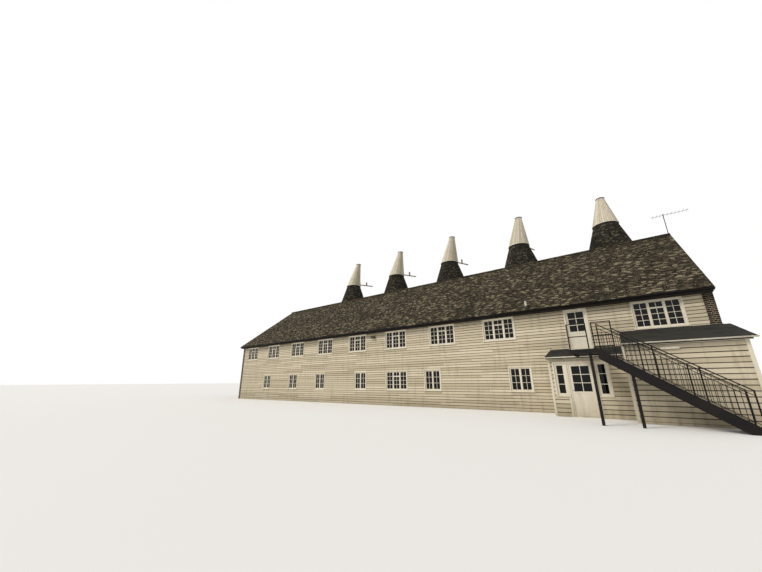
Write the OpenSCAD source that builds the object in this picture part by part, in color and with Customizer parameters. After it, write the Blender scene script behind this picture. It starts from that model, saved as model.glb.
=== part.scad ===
// Oast house: a long weatherboarded range with five round kilns behind it.
// Millimetres, +X along the front to the right, +Y from front to back, +Z up.
// The origin lies under the middle of the range, on the underside of its floor.

/* [Main range] */
// Length of the main range over its brick gables
range_length = 34000; // [33600:100:36000]
// Depth of the main range over its walls
range_depth = 11200; // [10800:100:12000]
// Thickness of the boarded front wall
front_t = 220; // [180:10:300]
// Thickness of the brick gable walls
gable_t = 340; // [300:10:400]
// Thickness of the brick rear wall
rear_t = 225; // [200:5:340]
// Height of the front wall's outer face
wall_head = 5010; // [4950:10:5100]
// Thickness of the ground floor
slab_t = 150; // [120:10:200]
// Height of the first floor
floor_level = 2850; // [2800:10:2880]
// Thickness of the first floor
floor_t = 220; // [180:10:300]

/* [Main roof] */
// Height of the roof's apex
ridge_height = 9400; // [9000:50:9800]
// Upright thickness of the roof
roof_v = 150; // [120:10:200]
// Reach of the eaves past the walls
eaves_reach = 300; // [220:10:400]
// Reach of the roof past the gables
verge_reach = 50; // [20:5:120]
// Radius of the ridge tiles
ridge_r = 126; // [110:2:150]
// Width and height of the main gutters
gutter_size = 110; // [90:5:130]
// Drop of the soffit boards below the roof's eaves
soffit_drop = 43; // [30:1:60]
// Thickness of the fascia and soffit boards
eaves_board_t = 25; // [20:1:40]
// Bedding joint between a roof and what carries it
bed_joint = 0.1; // [0.05:0.05:0.5]

/* [Windows] */
// Distance of the left-hand window from the range's left end
left_window_in = 1760; // [1500:10:2000]
// Distance from the right end to the window next to the upper door
bay_start_in = 8440; // [8200:10:8700]
// Distance of the right-hand window from the right end
right_window_in = 1780; // [1500:10:2000]
// Width of a three-light window
wide_w = 1650; // [1500:10:1700]
// Width of a two-light window
narrow_w = 1060; // [900:10:1150]
// Sill height of the first-floor windows
upper_sill = 3560; // [3540:10:3640]
// Head height of the first-floor windows
upper_head = 4720; // [4600:10:4760]
// Sill height of the ground-floor windows
lower_sill = 950; // [800:10:1050]
// Head height of the ground-floor windows
lower_head = 2120; // [2000:10:2250]
// Width of a window frame's members
frame_w = 60; // [45:5:75]
// Depth of a window frame
frame_d = 90; // [70:5:110]
// Thickness of the glass
glass_t = 6; // [4:1:12]

/* [Upper door] */
// Distance of the upper door from the right end
upper_door_in = 4765; // [4600:5:4900]
// Width of the upper door's opening
upper_door_w = 850; // [760:10:950]
// Head height of the upper door's opening
upper_door_head = 4690; // [4600:10:4760]
// Height of the upper door's glass above its foot
upper_glass_sill = 790; // [700:10:900]

/* [Porch] */
// Distance of the porch's left end from the range's right end
porch_in = 5980; // [5900:10:6100]
// Projection of the porch from the front
porch_out = 1400; // [1350:10:1500]
// Thickness of the porch walls
lean_t = 120; // [90:10:150]
// Thickness of the porch floor
porch_floor_t = 30; // [20:5:40]
// Height of the porch roof where it meets the front
porch_roof_high = 2840; // [2760:10:2870]
// Height of the porch roof at its eaves
porch_roof_low = 2450; // [2400:10:2500]
// Upright thickness of the lean-to roofs
lean_roof_v = 90; // [70:10:110]
// Reach of the lean-to eaves
lean_reach = 150; // [100:10:200]
// Width and height of the lean-to gutters
lean_gutter = 90; // [70:5:110]

/* [Entrance door] */
// Distance of the entrance door's left edge from the porch's left end
door_in = 750; // [720:5:780]
// Width of the entrance door's leaf
door_w = 815; // [790:5:830]
// Height of the entrance door's leaf
door_h = 2060; // [2000:10:2080]
// Thickness of the entrance door's leaf
door_t = 44; // [38:2:60]
// Gap round the entrance door's leaf
door_gap = 6; // [5:1:8]
// Height of the door's threshold over the porch floor
threshold_h = 20; // [15:1:25]
// Sill of the door's glass above the leaf's foot
door_glass_sill = 965; // [900:5:1000]
// Radius of the hinge pins
hinge_pin_r = 6; // [5:0.5:7]
// Radius of the hinge knuckles
hinge_knuckle_r = 11; // [10:0.5:13]
// Radial play between hinge pin and knuckle
hinge_play = 0.1; // [0.05:0.05:0.3]
// Width of the sidelights
sidelight_w = 420; // [380:10:430]
// Distance of the sidelights from the door frame
sidelight_gap = 80; // [60:5:90]

/* [Store] */
// Length of the store
store_length = 3220; // [3100:10:3240]
// Projection of the store from the front
store_out = 2500; // [2400:10:2600]
// Height of the store roof where it meets the front
store_roof_high = 3480; // [3400:10:3520]
// Height of the store roof at its eaves
store_roof_low = 2760; // [2700:10:2820]
// Reach of the store roof past its right end
store_verge = 100; // [60:10:200]
// Reach of the store's gutter past its right end
store_gutter_reach = 220; // [200:10:300]

/* [Stair and landing] */
// Distance of the top of the flight from the range's right end
stair_head_in = 3920; // [3900:5:3940]
// Height of the landing
landing_level = 2530; // [2520:5:2560]
// Thickness of the landing's deck
deck_t = 60; // [45:5:80]
// Length of the landing
landing_l = 860; // [820:10:900]
// Distance of the near string's face from the front
stair_near = 3950; // [3900:10:4100]
// Width of the flight over its strings
stair_w = 1000; // [900:10:1050]
// Number of risers
risers = 13; // [12:1:14]
// Going of each tread
going = 278; // [270:2:290]
// Thickness of each string
string_t = 50; // [40:5:60]
// Depth of each string
string_d = 300; // [260:10:340]
// Thickness of each tread
tread_t = 40; // [30:5:50]
// Height of the landing's rail
rail_h = 930; // [880:10:980]
// Height of the flight's rails over its pitch line
stair_rail_h = 1030; // [980:10:1040]
// Radius of the rails
rail_r = 17; // [14:1:20]
// Radius of the balusters
baluster_r = 7; // [6:0.5:9]
// Distance between balusters
baluster_pitch = 125; // [110:5:150]
// Side of the posts under the landing and the flight
prop_w = 90; // [80:5:110]

/* [Kilns] */
// Distance of the end kilns from the range's ends
kiln_in = 2800; // [2780:10:2900]
// Outer radius of a kiln's wall
kiln_r = 2750; // [2650:10:2800]
// Thickness of a kiln's wall
kiln_t = 340; // [300:10:400]
// Distance of a kiln's axis behind the range
kiln_back = 2000; // [1900:10:2200]
// Height of a kiln's roof at its eaves
kiln_eaves = 7400; // [7200:10:7600]
// Reach of a kiln's eaves past its wall
kiln_reach = 230; // [150:10:280]
// Height of a kiln's curb
curb_top = 13880; // [13600:20:14200]
// Outer radius of a kiln's curb
curb_r = 910; // [860:10:960]
// Height of a kiln's curb ring
curb_h = 140; // [120:10:180]
// Level thickness of a kiln's roof
kiln_roof_t = 180; // [150:10:220]
// Width of a kiln's windows
kiln_window_w = 900; // [800:10:1000]
// Joint between the parts of a round wall or roof
joint_w = 0.5; // [0.3:0.1:0.8]

/* [Cowls] */
// Height of the first four cowls
cowl_h = 3280; // [3150:10:3400]
// Height of the right-hand cowl
end_cowl_h = 2850; // [2700:10:3400]
// Outer radius of a cowl's foot
cowl_r = 940; // [900:10:1000]
// Outer radius of a cowl's top
cowl_top_r = 280; // [240:10:320]
// Lean of a cowl's top away from its axis
cowl_lean = 650; // [600:10:800]
// Thickness of a cowl's boards
cowl_t = 35; // [30:5:50]
// Running gap between a cowl and its curb
cowl_gap = 15; // [10:1:30]
// Turn of all cowls' mouths from the back towards the right
cowl_turn = 18; // [0:1:30]
// Radius of a cowl's spindle
spindle_r = 40; // [35:1:50]
// Radial play of a cowl's spindle
spindle_play = 0.1; // [0.05:0.05:0.3]
// Depth of a cowl's spindle in its bearing
spindle_depth = 600; // [500:10:700]
// Reach of a vane past its cowl's foot
vane_reach = 1850; // [1700:10:2000]

/* [Fittings] */
// Height of the aerial's mast
mast_h = 1240; // [1160:20:1400]
// Length of the aerial's boom
boom_l = 1620; // [1500:10:1800]
// Radius of the vent pipe
vent_r = 55; // [45:5:70]
// Height of the vent pipe's top
vent_top = 5500; // [5300:20:5700]
// Width of the wall lamp
lamp_w = 320; // [250:10:400]
// Height of the wall lamp
lamp_h = 110; // [80:10:150]
// Projection of the wall lamp
lamp_out = 180; // [120:10:240]
// Length of the batten light
batten_l = 480; // [400:10:600]
// Height of the batten light
batten_h = 80; // [60:5:100]
// Projection of the batten light
batten_out = 70; // [50:5:100]

/* [Hidden] */

$fn = 64;
far = 40000;
half_length = range_length / 2;
half_depth = range_depth / 2;
front_y = -half_depth;
rear_y = half_depth;
storey_split = floor_level - floor_t;
inner_x = half_length - gable_t;

// Underside and slope of the main roof
roof_slope = (ridge_height - roof_v - wall_head) / half_depth;
eaves_y = half_depth + eaves_reach;
eaves_under = wall_head - eaves_reach * roof_slope;
soffit_z = eaves_under - soffit_drop;
roof_length = range_length + 2 * verge_reach;

// Windows, counted to the left from the upper door
upper_bays = 8;
bay_start = half_length - bay_start_in;
bay_pitch = (range_length - bay_start_in - left_window_in) / (upper_bays - 1);
upper_window_x = [for (i = [0 : upper_bays - 1]) bay_start - i * bay_pitch];
right_window_x = half_length - right_window_in;
lower_window_bays = [-0.247, 1.226, 2.906, 4.135, 5.106, 6.194];
lower_window_x = [for (n = lower_window_bays) bay_start - n * bay_pitch];
lower_wide_x = bay_start - 2 * bay_pitch;
gable_window_y = [-2600, 2600];
kiln_count = 5;
kiln_pitch = (range_length - 2 * kiln_in) / (kiln_count - 1);
kiln_shift = [30, 30, 50, 270, 150];
kiln_x = [for (i = [0 : kiln_count - 1]) kiln_in - half_length + i * kiln_pitch + kiln_shift[i]];
rear_window_x = [for (i = [0 : kiln_count - 2]) (kiln_x[i] + kiln_x[i + 1]) / 2];
kiln_y = rear_y + kiln_back;
kiln_inner_r = kiln_r - kiln_t;

// Upper door and the doorway behind the porch
upper_door_x = half_length - upper_door_in;
upper_door_foot = floor_level + 30;
porch_left = half_length - porch_in;
store_left = half_length - store_length;
door_left = porch_left + door_in;
doorway_left = door_left + 30;
doorway_w = 1100;
doorway_head = lower_head + 30;

// Gap at which a moving piece rests on its seat
seat_gap = 0.3;

// Porch and store
porch_y = front_y - porch_out;
porch_slope = (porch_roof_high - porch_roof_low) / (porch_out + lean_reach);
store_y = front_y - store_out;
store_slope = (store_roof_high - store_roof_low) / (store_out + lean_reach);
door_foot = porch_floor_t + threshold_h;
door_right = door_left + door_w;
frame_left = door_left - door_gap - frame_w;
frame_right = door_right + door_gap + frame_w;
frame_head = door_foot + door_h + door_gap + frame_w;
sidelight_sill = 840;
left_light_x = frame_left - sidelight_gap - sidelight_w / 2;
right_light_x = frame_right + sidelight_gap + sidelight_w / 2;
leaf_y = porch_y + 20;
leaf_back = leaf_y + door_t;
hinge_x = door_right + door_gap / 2;
hinge_y = leaf_back + hinge_knuckle_r;
hinge_h = 45;
hinge_levels = [for (share = [0.12, 0.5, 0.86]) door_foot + share * door_h];
door_stile = 85;
door_top_rail = 70;
lever_level = door_foot + door_h * 0.49;

// Landing and stair
stair_head_x = half_length - stair_head_in;
landing_left = stair_head_x - landing_l;
near_y = front_y - stair_near;
far_y = near_y + stair_w;
deck_under = landing_level - deck_t;
deck_back_y = porch_y - lean_reach + (deck_under - porch_roof_low) / porch_slope;
deck_beam_h = 160;
deck_beam_back_y = porch_y - lean_reach - lean_gutter - 20;
riser = landing_level / risers;
stair_pitch = riser / going;
pitch_angle = atan(stair_pitch);
flight_run = (risers - 1) * going;
post_a_x = landing_left + 40;
post_c_x = stair_head_x - 40;
newel_x = stair_head_x + 520;
newel_r = 20;
mid_rail_h = 450;
low_rail_h = 60;
left_prop_x = stair_head_x - 230;
right_prop_x = stair_head_x + 3 * going + 6;
prop_tread = ceil((right_prop_x + prop_w / 2 - stair_head_x) / going);

// Kiln roofs and cowls
kiln_foot_r = kiln_r + kiln_reach;
kiln_top_z = curb_top - curb_h;
kiln_run = (kiln_foot_r - curb_r) / (kiln_top_z - kiln_eaves);
cowl_foot = curb_top + cowl_gap;
cowl_ring_h = 110;
cowl_bar_w = 100;
cowl_mouth_foot = 620;
cap_r = cowl_top_r + 45;
cap_h = 45;
hub_r = 2.6 * spindle_r;
hub_h = spindle_depth + 60;
beam_h = curb_h - 20;
spindle_foot = beam_h - curb_h - cowl_gap - spindle_depth + seat_gap;
vane_z = 300;
cowl_heading = [12, 10, 6, 0, -13];
vane_h = 130;
vane_t = 40;

// A solid with a YZ outline, drawn along X and centred on x
module along_x(length, x = 0) {
    translate([x, 0, 0]) rotate([90, 0, 90]) linear_extrude(length, center = true) children();
}

// A solid with an XZ outline, from y0 to y1
module along_y(y0, y1) {
    translate([0, y1, 0]) rotate([90, 0, 0]) linear_extrude(y1 - y0) children();
}

module block(x0, x1, y0, y1, z0, z1) {
    translate([x0, y0, z0]) cube([x1 - x0, y1 - y0, z1 - z0]);
}

// Heights of the main roof's top, and of the walls under it, at a distance from the ridge line
function roof_top(y) = wall_head + roof_v + (half_depth - abs(y)) * roof_slope;
function roof_under(y) = roof_top(y) - roof_v - bed_joint;

module at_kilns() {
    for (x = kiln_x) translate([x, kiln_y, 0]) children();
}

module kiln_holes(gap = joint_w) {
    at_kilns() cylinder(r = kiln_r + gap, h = far, $fn = 128);
}

// A hole through a wall that faces the front or the back
module wall_hole(x, w, sill, head, y0, y1) {
    block(x - w / 2, x + w / 2, y0 - 50, y1 + 50, sill, head);
}

module front_wall_profile(z0, z1) {
    polygon([
        [front_y, z0], [front_y + front_t, z0],
        [front_y + front_t, min(z1, roof_under(front_y + front_t))],
        [front_y, min(z1, roof_under(front_y))]
    ]);
}

// Window frame facing along Y with its outer face at y, and the lights between its mullions
module window_frame(x, w, sill, head, y, lights) {
    light_w = (w - (lights + 1) * frame_w) / lights;
    difference() {
        block(x - w / 2, x + w / 2, y, y + frame_d, sill, head);
        for (i = [0 : lights - 1])
            translate([x - w / 2 + frame_w + i * (light_w + frame_w), y - 50, sill + frame_w])
                cube([light_w, frame_d + 100, head - sill - 2 * frame_w]);
    }
}

module window_glass(x, w, sill, head, y, lights) {
    light_w = (w - (lights + 1) * frame_w) / lights;
    for (i = [0 : lights - 1])
        translate([x - w / 2 + frame_w + i * (light_w + frame_w), y + frame_d / 2 - glass_t / 2,
            sill + frame_w])
            cube([light_w, glass_t, head - sill - 2 * frame_w]);
}

front_frame_y = front_y + 20;
rear_frame_y = rear_y - 20 - frame_d;
kiln_frame_y = kiln_y + kiln_r - 80 - frame_d;
gable_frame_x = half_length - 60;

// Frames or glass of all the windows of one storey
module storey_windows(sill, head, part, front_wide, front_narrow) {
    for (x = front_wide) one_window(x, wide_w, sill, head, front_frame_y, 3, part);
    for (x = front_narrow) one_window(x, narrow_w, sill, head, front_frame_y, 2, part);
    for (x = rear_window_x) one_window(x, narrow_w, sill, head, rear_frame_y, 2, part);
    for (x = kiln_x) one_window(x, kiln_window_w, sill, head, kiln_frame_y, 2, part);
    for (side = [-1, 1], y = gable_window_y)
        translate([side * gable_frame_x, y, 0]) rotate([0, 0, side * 90])
            one_window(0, narrow_w, sill, head, 0, 2, part);
}

module one_window(x, w, sill, head, y, lights, part) {
    if (part == "frame") window_frame(x, w, sill, head, y, lights);
    if (part == "glass") window_glass(x, w, sill, head, y, lights);
}

module ground_floor() {
    color("gray") {
        difference() {
            block(-inner_x, inner_x, front_y + front_t, rear_y - rear_t, 0, slab_t);
            kiln_holes();
        }
        at_kilns() cylinder(r = kiln_inner_r, h = slab_t, $fn = 128);
        block(porch_left + lean_t, store_left, porch_y + lean_t, front_y, 0, porch_floor_t);
        block(store_left + lean_t, half_length - lean_t, store_y + lean_t, front_y, 0, slab_t);
    }
}

module first_floor() {
    color("burlywood") difference() {
        block(-inner_x, inner_x, front_y + front_t, rear_y - rear_t, storey_split, floor_level);
        kiln_holes();
    }
}

module front_wall_lower_left() {
    color("antiquewhite") difference() {
        along_x(inner_x + doorway_left, (doorway_left - inner_x) / 2)
            front_wall_profile(0, storey_split);
        for (x = lower_window_x)
            wall_hole(x, narrow_w, lower_sill, lower_head, front_y, front_y + front_t);
        wall_hole(lower_wide_x, wide_w, lower_sill, lower_head, front_y, front_y + front_t);
    }
}

module front_wall_lower_right() {
    right_start = doorway_left + doorway_w;
    color("antiquewhite") along_x(inner_x - right_start, (inner_x + right_start) / 2)
        front_wall_profile(0, storey_split);
}

module doorway_lintel() {
    color("antiquewhite") along_x(doorway_w, doorway_left + doorway_w / 2)
        front_wall_profile(doorway_head, storey_split);
}

module front_wall_upper() {
    color("antiquewhite") difference() {
        along_x(2 * inner_x) front_wall_profile(storey_split, far);
        for (x = concat(upper_window_x, [right_window_x]))
            wall_hole(x, wide_w, upper_sill, upper_head, front_y, front_y + front_t);
        wall_hole(upper_door_x, upper_door_w, upper_door_foot, upper_door_head,
            front_y, front_y + front_t);
    }
}

module rear_wall() {
    color("firebrick") difference() {
        along_x(2 * inner_x) polygon([
            [rear_y - rear_t, 0], [rear_y, 0],
            [rear_y, roof_under(rear_y)], [rear_y - rear_t, roof_under(rear_y - rear_t)]
        ]);
        kiln_holes();
        for (x = rear_window_x) {
            wall_hole(x, narrow_w, lower_sill, lower_head, rear_y - rear_t, rear_y);
            wall_hole(x, narrow_w, upper_sill, upper_head, rear_y - rear_t, rear_y);
        }
    }
}

module gable_wall(side) {
    color("firebrick") difference() {
        along_x(gable_t, side * (half_length - gable_t / 2)) polygon([
            [front_y, 0], [rear_y, 0], [rear_y, roof_under(rear_y)],
            [0, roof_under(0)], [front_y, roof_under(front_y)]
        ]);
        for (y = gable_window_y, level = [[lower_sill, lower_head], [upper_sill, upper_head]])
            block(side * half_length - far / 100, side * half_length + far / 100,
                y - narrow_w / 2, y + narrow_w / 2, level[0], level[1]);
    }
}

module left_gable_wall() {
    gable_wall(-1);
}

module right_gable_wall() {
    gable_wall(1);
}

module roof_profile(side) {
    polygon([
        [side * eaves_y, eaves_under], [side * eaves_y, eaves_under + roof_v],
        [0, ridge_height], [0, ridge_height - roof_v]
    ]);
}

module front_roof() {
    color("dimgray") along_x(roof_length) roof_profile(-1);
}

module rear_roof() {
    color("dimgray") difference() {
        along_x(roof_length) roof_profile(1);
        kiln_holes();
    }
}

module ridge_tiles() {
    color("saddlebrown") along_x(roof_length) difference() {
        translate([0, ridge_height - ridge_r / 2]) circle(r = ridge_r);
        translate([0, ridge_height + bed_joint])
            polygon([[-far, -far * roof_slope], [0, 0], [far, -far * roof_slope]]);
    }
}

// Fascia and soffit boards of the front and rear eaves
module eaves_boards() {
    color("dimgray") difference() {
        for (side = [-1, 1]) along_x(range_length) polygon([
            [side * half_depth, soffit_z], [side * eaves_y, soffit_z],
            [side * eaves_y, roof_under(eaves_y)],
            [side * (eaves_y - eaves_board_t), roof_under(eaves_y - eaves_board_t)],
            [side * (eaves_y - eaves_board_t), soffit_z + eaves_board_t],
            [side * half_depth, soffit_z + eaves_board_t]
        ]);
        kiln_holes();
    }
}

module gutter(x0, x1, y, top, size) {
    wall = size / 12;
    difference() {
        block(x0, x1, y - size, y, top - size, top);
        block(x0 + wall, x1 - wall, y - size + wall, y - wall, top - size + wall, top + size);
    }
}

module gutters() {
    color("black") {
        gutter(-roof_length / 2, roof_length / 2, -eaves_y, eaves_under + roof_v * 2 / 3, gutter_size);
        difference() {
            gutter(-roof_length / 2, roof_length / 2, eaves_y + gutter_size,
                eaves_under + roof_v * 2 / 3, gutter_size);
            kiln_holes();
        }
        gutter(porch_left - 100, store_left - 10, porch_y - lean_reach, porch_roof_low - 10,
            lean_gutter);
        gutter(store_left - 40, half_length + store_gutter_reach, store_y - lean_reach,
            store_roof_low - 10, lean_gutter);
    }
}

module ground_window_frames() {
    color("white") storey_windows(lower_sill, lower_head, "frame", [lower_wide_x], lower_window_x);
}

module first_floor_window_frames() {
    color("white") storey_windows(upper_sill, upper_head, "frame",
        concat(upper_window_x, [right_window_x]), []);
}

module ground_window_glass() {
    color("lightblue") {
        storey_windows(lower_sill, lower_head, "glass", [lower_wide_x], lower_window_x);
        for (x = [left_light_x, right_light_x])
            window_glass(x, sidelight_w, sidelight_sill, frame_head, porch_y + 15, 1);
    }
}

module first_floor_window_glass() {
    color("lightblue") storey_windows(upper_sill, upper_head, "glass",
        concat(upper_window_x, [right_window_x]), []);
}

module upper_door_frame() {
    color("white") difference() {
        block(upper_door_x - upper_door_w / 2, upper_door_x + upper_door_w / 2,
            front_frame_y, front_frame_y + frame_d, upper_door_foot, upper_door_head);
        wall_hole(upper_door_x, upper_door_w - 2 * frame_w, upper_door_foot - 100,
            upper_door_head - frame_w, front_y, front_y + front_t);
    }
}

upper_leaf_w = upper_door_w - 2 * frame_w;
upper_leaf_h = upper_door_head - frame_w - upper_door_foot;
upper_leaf_y = front_frame_y + 20;

module upper_door() {
    color("white") difference() {
        block(upper_door_x - upper_leaf_w / 2, upper_door_x + upper_leaf_w / 2,
            upper_leaf_y, upper_leaf_y + door_t, upper_door_foot, upper_door_foot + upper_leaf_h);
        upper_door_light(upper_leaf_y - 50, upper_leaf_y + door_t + 50);
    }
}

module upper_door_light(y0, y1) {
    block(upper_door_x - upper_leaf_w / 2 + door_stile / 2,
        upper_door_x + upper_leaf_w / 2 - door_stile / 2, y0, y1,
        upper_door_foot + upper_glass_sill, upper_door_foot + upper_leaf_h - door_stile / 2);
}

module upper_door_glass() {
    color("lightblue") upper_door_light(upper_leaf_y + door_t / 2 - glass_t / 2,
        upper_leaf_y + door_t / 2 + glass_t / 2);
}

// Heights of the lean-to walls under their roofs at y
function lean_under(y, high, slope) = high - lean_roof_v - bed_joint + (y - front_y) * slope;
function porch_under(y) = lean_under(y, porch_roof_high, porch_slope);
function store_under(y) = lean_under(y, store_roof_high, store_slope);

module porch_front_wall() {
    color("antiquewhite") difference() {
        union() {
            block(porch_left, frame_left, porch_y, porch_y + lean_t, 0, frame_head);
            block(frame_right, store_left, porch_y, porch_y + lean_t, 0, frame_head);
        }
        for (x = [left_light_x, right_light_x])
            wall_hole(x, sidelight_w, sidelight_sill, far, porch_y, porch_y + lean_t);
    }
}

module porch_front_head() {
    color("antiquewhite") along_x(store_left - porch_left, (store_left + porch_left) / 2)
        polygon([
            [porch_y, frame_head], [porch_y + lean_t, frame_head],
            [porch_y + lean_t, porch_under(porch_y + lean_t)], [porch_y, porch_under(porch_y)]
        ]);
}

module porch_end_wall() {
    start_y = porch_y + lean_t;
    color("antiquewhite") along_x(lean_t, porch_left + lean_t / 2) polygon([
        [start_y, 0], [front_y, 0], [front_y, porch_under(front_y)],
        [start_y, porch_under(start_y)]
    ]);
}

module lean_roof(x0, x1, out, high, low) {
    eaves = front_y - out - lean_reach;
    along_x(x1 - x0, (x0 + x1) / 2) polygon([
        [eaves, low - lean_roof_v], [front_y, high - lean_roof_v], [front_y, high], [eaves, low]
    ]);
}

module porch_roof() {
    color("slategray") lean_roof(porch_left - 100, store_left, porch_out, porch_roof_high,
        porch_roof_low);
}

module sidelight_frames() {
    color("white") for (x = [left_light_x, right_light_x])
        window_frame(x, sidelight_w, sidelight_sill, frame_head, porch_y + 15, 1);
}

// Frame side of a hinge: plate, knuckle and pin
module hinge_seat(z) {
    translate([hinge_x, hinge_y, z]) {
        cylinder(r = hinge_knuckle_r, h = hinge_h);
        cylinder(r = hinge_pin_r, h = 2 * hinge_h);
        translate([0, -hinge_knuckle_r, 0]) cube([35, 4, hinge_h]);
    }
}

module door_frame() {
    frame_y1 = leaf_back;
    color("white") {
        difference() {
            block(frame_left, frame_right, porch_y, frame_y1, 0, frame_head);
            block(frame_left + frame_w, frame_right - frame_w, porch_y - 50, frame_y1 + 50,
                door_foot - door_gap, frame_head - frame_w);
        }
        for (z = hinge_levels) hinge_seat(z);
    }
}

module door_light(y0, y1) {
    block(door_left + door_stile, door_right - door_stile, y0, y1,
        door_foot + door_glass_sill, door_foot + door_h - door_top_rail);
}

module entrance_door() {
    color("white") difference() {
        union() {
            block(door_left, door_right, leaf_y, leaf_back, door_foot, door_foot + door_h);
            for (z = hinge_levels) translate([hinge_x, hinge_y, z + hinge_h + seat_gap]) {
                cylinder(r = hinge_knuckle_r, h = hinge_h);
                translate([-35, -hinge_knuckle_r, 0]) cube([35, 4, hinge_h]);
            }
        }
        door_light(leaf_y - 50, leaf_back + 50);
        for (z = hinge_levels) translate([hinge_x, hinge_y, z])
            cylinder(r = hinge_pin_r + hinge_play, h = 3 * hinge_h);
    }
}

module entrance_door_glass() {
    middle = (leaf_y + leaf_back) / 2;
    color("lightblue") door_light(middle - glass_t / 2, middle + glass_t / 2);
}

// A plate and lever on one face of the leaf
module door_handle(y, side) {
    x = door_left + door_stile / 2;
    plate_t = 8;
    block(x - 22, x + 22, min(y, y + side * plate_t), max(y, y + side * plate_t),
        lever_level - 110, lever_level + 60);
    translate([x, y, lever_level]) rotate([-side * 90, 0, 0]) cylinder(r = 9, h = 48);
    translate([x - 9, y + side * 48 - 9, lever_level - 9]) cube([120, 18, 18]);
}

module door_handles() {
    color("black") {
        door_handle(leaf_y, -1);
        door_handle(leaf_back, 1);
    }
}

module store_front_wall() {
    color("antiquewhite") along_x(half_length - store_left, (half_length + store_left) / 2)
        polygon([
            [store_y, 0], [store_y + lean_t, 0],
            [store_y + lean_t, store_under(store_y + lean_t)], [store_y, store_under(store_y)]
        ]);
}

module store_end_walls() {
    start_y = store_y + lean_t;
    color("antiquewhite") for (x = [store_left + lean_t / 2, half_length - lean_t / 2])
        along_x(lean_t, x) polygon([
            [start_y, 0], [front_y, 0], [front_y, store_under(front_y)],
            [start_y, store_under(start_y)]
        ]);
}

module store_roof() {
    color("slategray") lean_roof(store_left, half_length + store_verge, store_out,
        store_roof_high, store_roof_low);
}

module landing_deck() {
    color("black") {
        block(landing_left, stair_head_x, near_y, deck_back_y, deck_under, landing_level);
        block(landing_left, landing_left + string_t, near_y, deck_beam_back_y,
            landing_level - deck_beam_h, deck_under);
        block(stair_head_x - string_t, stair_head_x, near_y, deck_beam_back_y,
            landing_level - deck_beam_h, deck_under);
        block(landing_left, stair_head_x, near_y, near_y + string_t,
            landing_level - deck_beam_h, deck_under);
    }
}

module upright(x, y, z0, z1, r) {
    translate([x, y, z0]) cylinder(r = r, h = z1 - z0, $fn = 16);
}

module level_rail(x0, x1, y, z, r) {
    translate([x0, y, z]) rotate([0, 90, 0]) cylinder(r = r, h = x1 - x0, $fn = 16);
}

module landing_railings() {
    rail_y = near_y + string_t / 2;
    post_r = rail_r + 3;
    top = landing_level + rail_h;
    color("black") {
        upright(post_a_x, rail_y, landing_level, top, post_r);
        upright(left_prop_x, rail_y, landing_level, top, post_r);
        level_rail(post_a_x, left_prop_x, rail_y, top - rail_r, rail_r);
        level_rail(post_a_x, left_prop_x, rail_y, landing_level + mid_rail_h, rail_r);
        upright(post_c_x, rail_y, landing_level, top, post_r);
        difference() {
            upright(newel_x, rail_y, pitch_z(newel_x), top, newel_r);
            stair_strings();
        }
        level_rail(post_c_x, newel_x, rail_y, top - rail_r, rail_r);
        level_rail(post_c_x, newel_x, rail_y, landing_level + mid_rail_h, rail_r);
        level_rail(post_c_x, newel_x, rail_y, landing_level + low_rail_h, rail_r);
        for (x = [post_c_x + 75 : 75 : newel_x - 60])
            upright(x, rail_y, landing_level + low_rail_h, landing_level + mid_rail_h, baluster_r);
    }
}

// Height of the pitch line, which joins the treads' front edges, at x
function pitch_z(x) = landing_level - (x - stair_head_x) * stair_pitch;
stair_foot_x = stair_head_x + flight_run + going / 2;
string_rise = 15;

module stair_strings() {
    drop = string_d / cos(pitch_angle);
    top = landing_level + string_rise;
    color("black") for (y = [near_y, far_y - string_t]) along_y(y, y + string_t) polygon([
        [stair_head_x, pitch_z(stair_head_x) + string_rise - drop],
        [stair_head_x, top],
        [stair_foot_x, pitch_z(stair_foot_x) + string_rise],
        [stair_foot_x, 0],
        [stair_head_x + (pitch_z(stair_head_x) + string_rise - drop) / stair_pitch, 0]
    ]);
}

module stair_treads() {
    color("dimgray") for (i = [1 : risers - 1])
        block(stair_head_x + (i - 1) * going + 2, stair_head_x + i * going,
            near_y + string_t, far_y - string_t,
            landing_level - i * riser - tread_t, landing_level - i * riser);
}

// A rail that follows the flight from x0 to x1, at a height over the pitch line
module pitched_rail(x0, x1, y, h, r) {
    translate([x0, y, pitch_z(x0) + h]) rotate([0, 90 + pitch_angle, 0])
        cylinder(r = r, h = (x1 - x0) / cos(pitch_angle), $fn = 16);
}

module stair_railing(y, x0) {
    post_r = rail_r + 3;
    x1 = stair_foot_x - 60;
    posts = 4;
    post_step = (x1 - x0) / (posts - 1);
    for (i = [0 : posts - 1]) {
        x = x0 + i * post_step;
        upright(x, y, pitch_z(x) + string_rise - post_r * stair_pitch, pitch_z(x) + stair_rail_h, post_r);
    }
    pitched_rail(x0, x1, y, stair_rail_h - rail_r, rail_r);
    pitched_rail(x0, x1, y, stair_rail_h - 160, baluster_r + 3);
    pitched_rail(x0, x1, y, string_rise + 70, baluster_r + 3);
    for (x = [x0 + baluster_pitch : baluster_pitch : x1 - 40])
        upright(x, y, pitch_z(x) + string_rise + 70, pitch_z(x) + stair_rail_h - 160, baluster_r);
}

module stair_railings() {
    color("black") difference() {
        union() {
            stair_railing(near_y + string_t / 2, newel_x);
            stair_railing(far_y - string_t / 2, stair_head_x + 60);
        }
        stair_strings();
        landing_railings();
    }
}

module props() {
    color("black") {
        block(left_prop_x - prop_w / 2, left_prop_x + prop_w / 2, near_y + string_t,
            near_y + string_t + prop_w, 0, deck_under);
        block(right_prop_x - prop_w / 2, right_prop_x + prop_w / 2, near_y + string_t,
            near_y + string_t + prop_w, 0, landing_level - prop_tread * riser - tread_t);
    }
}

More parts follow.
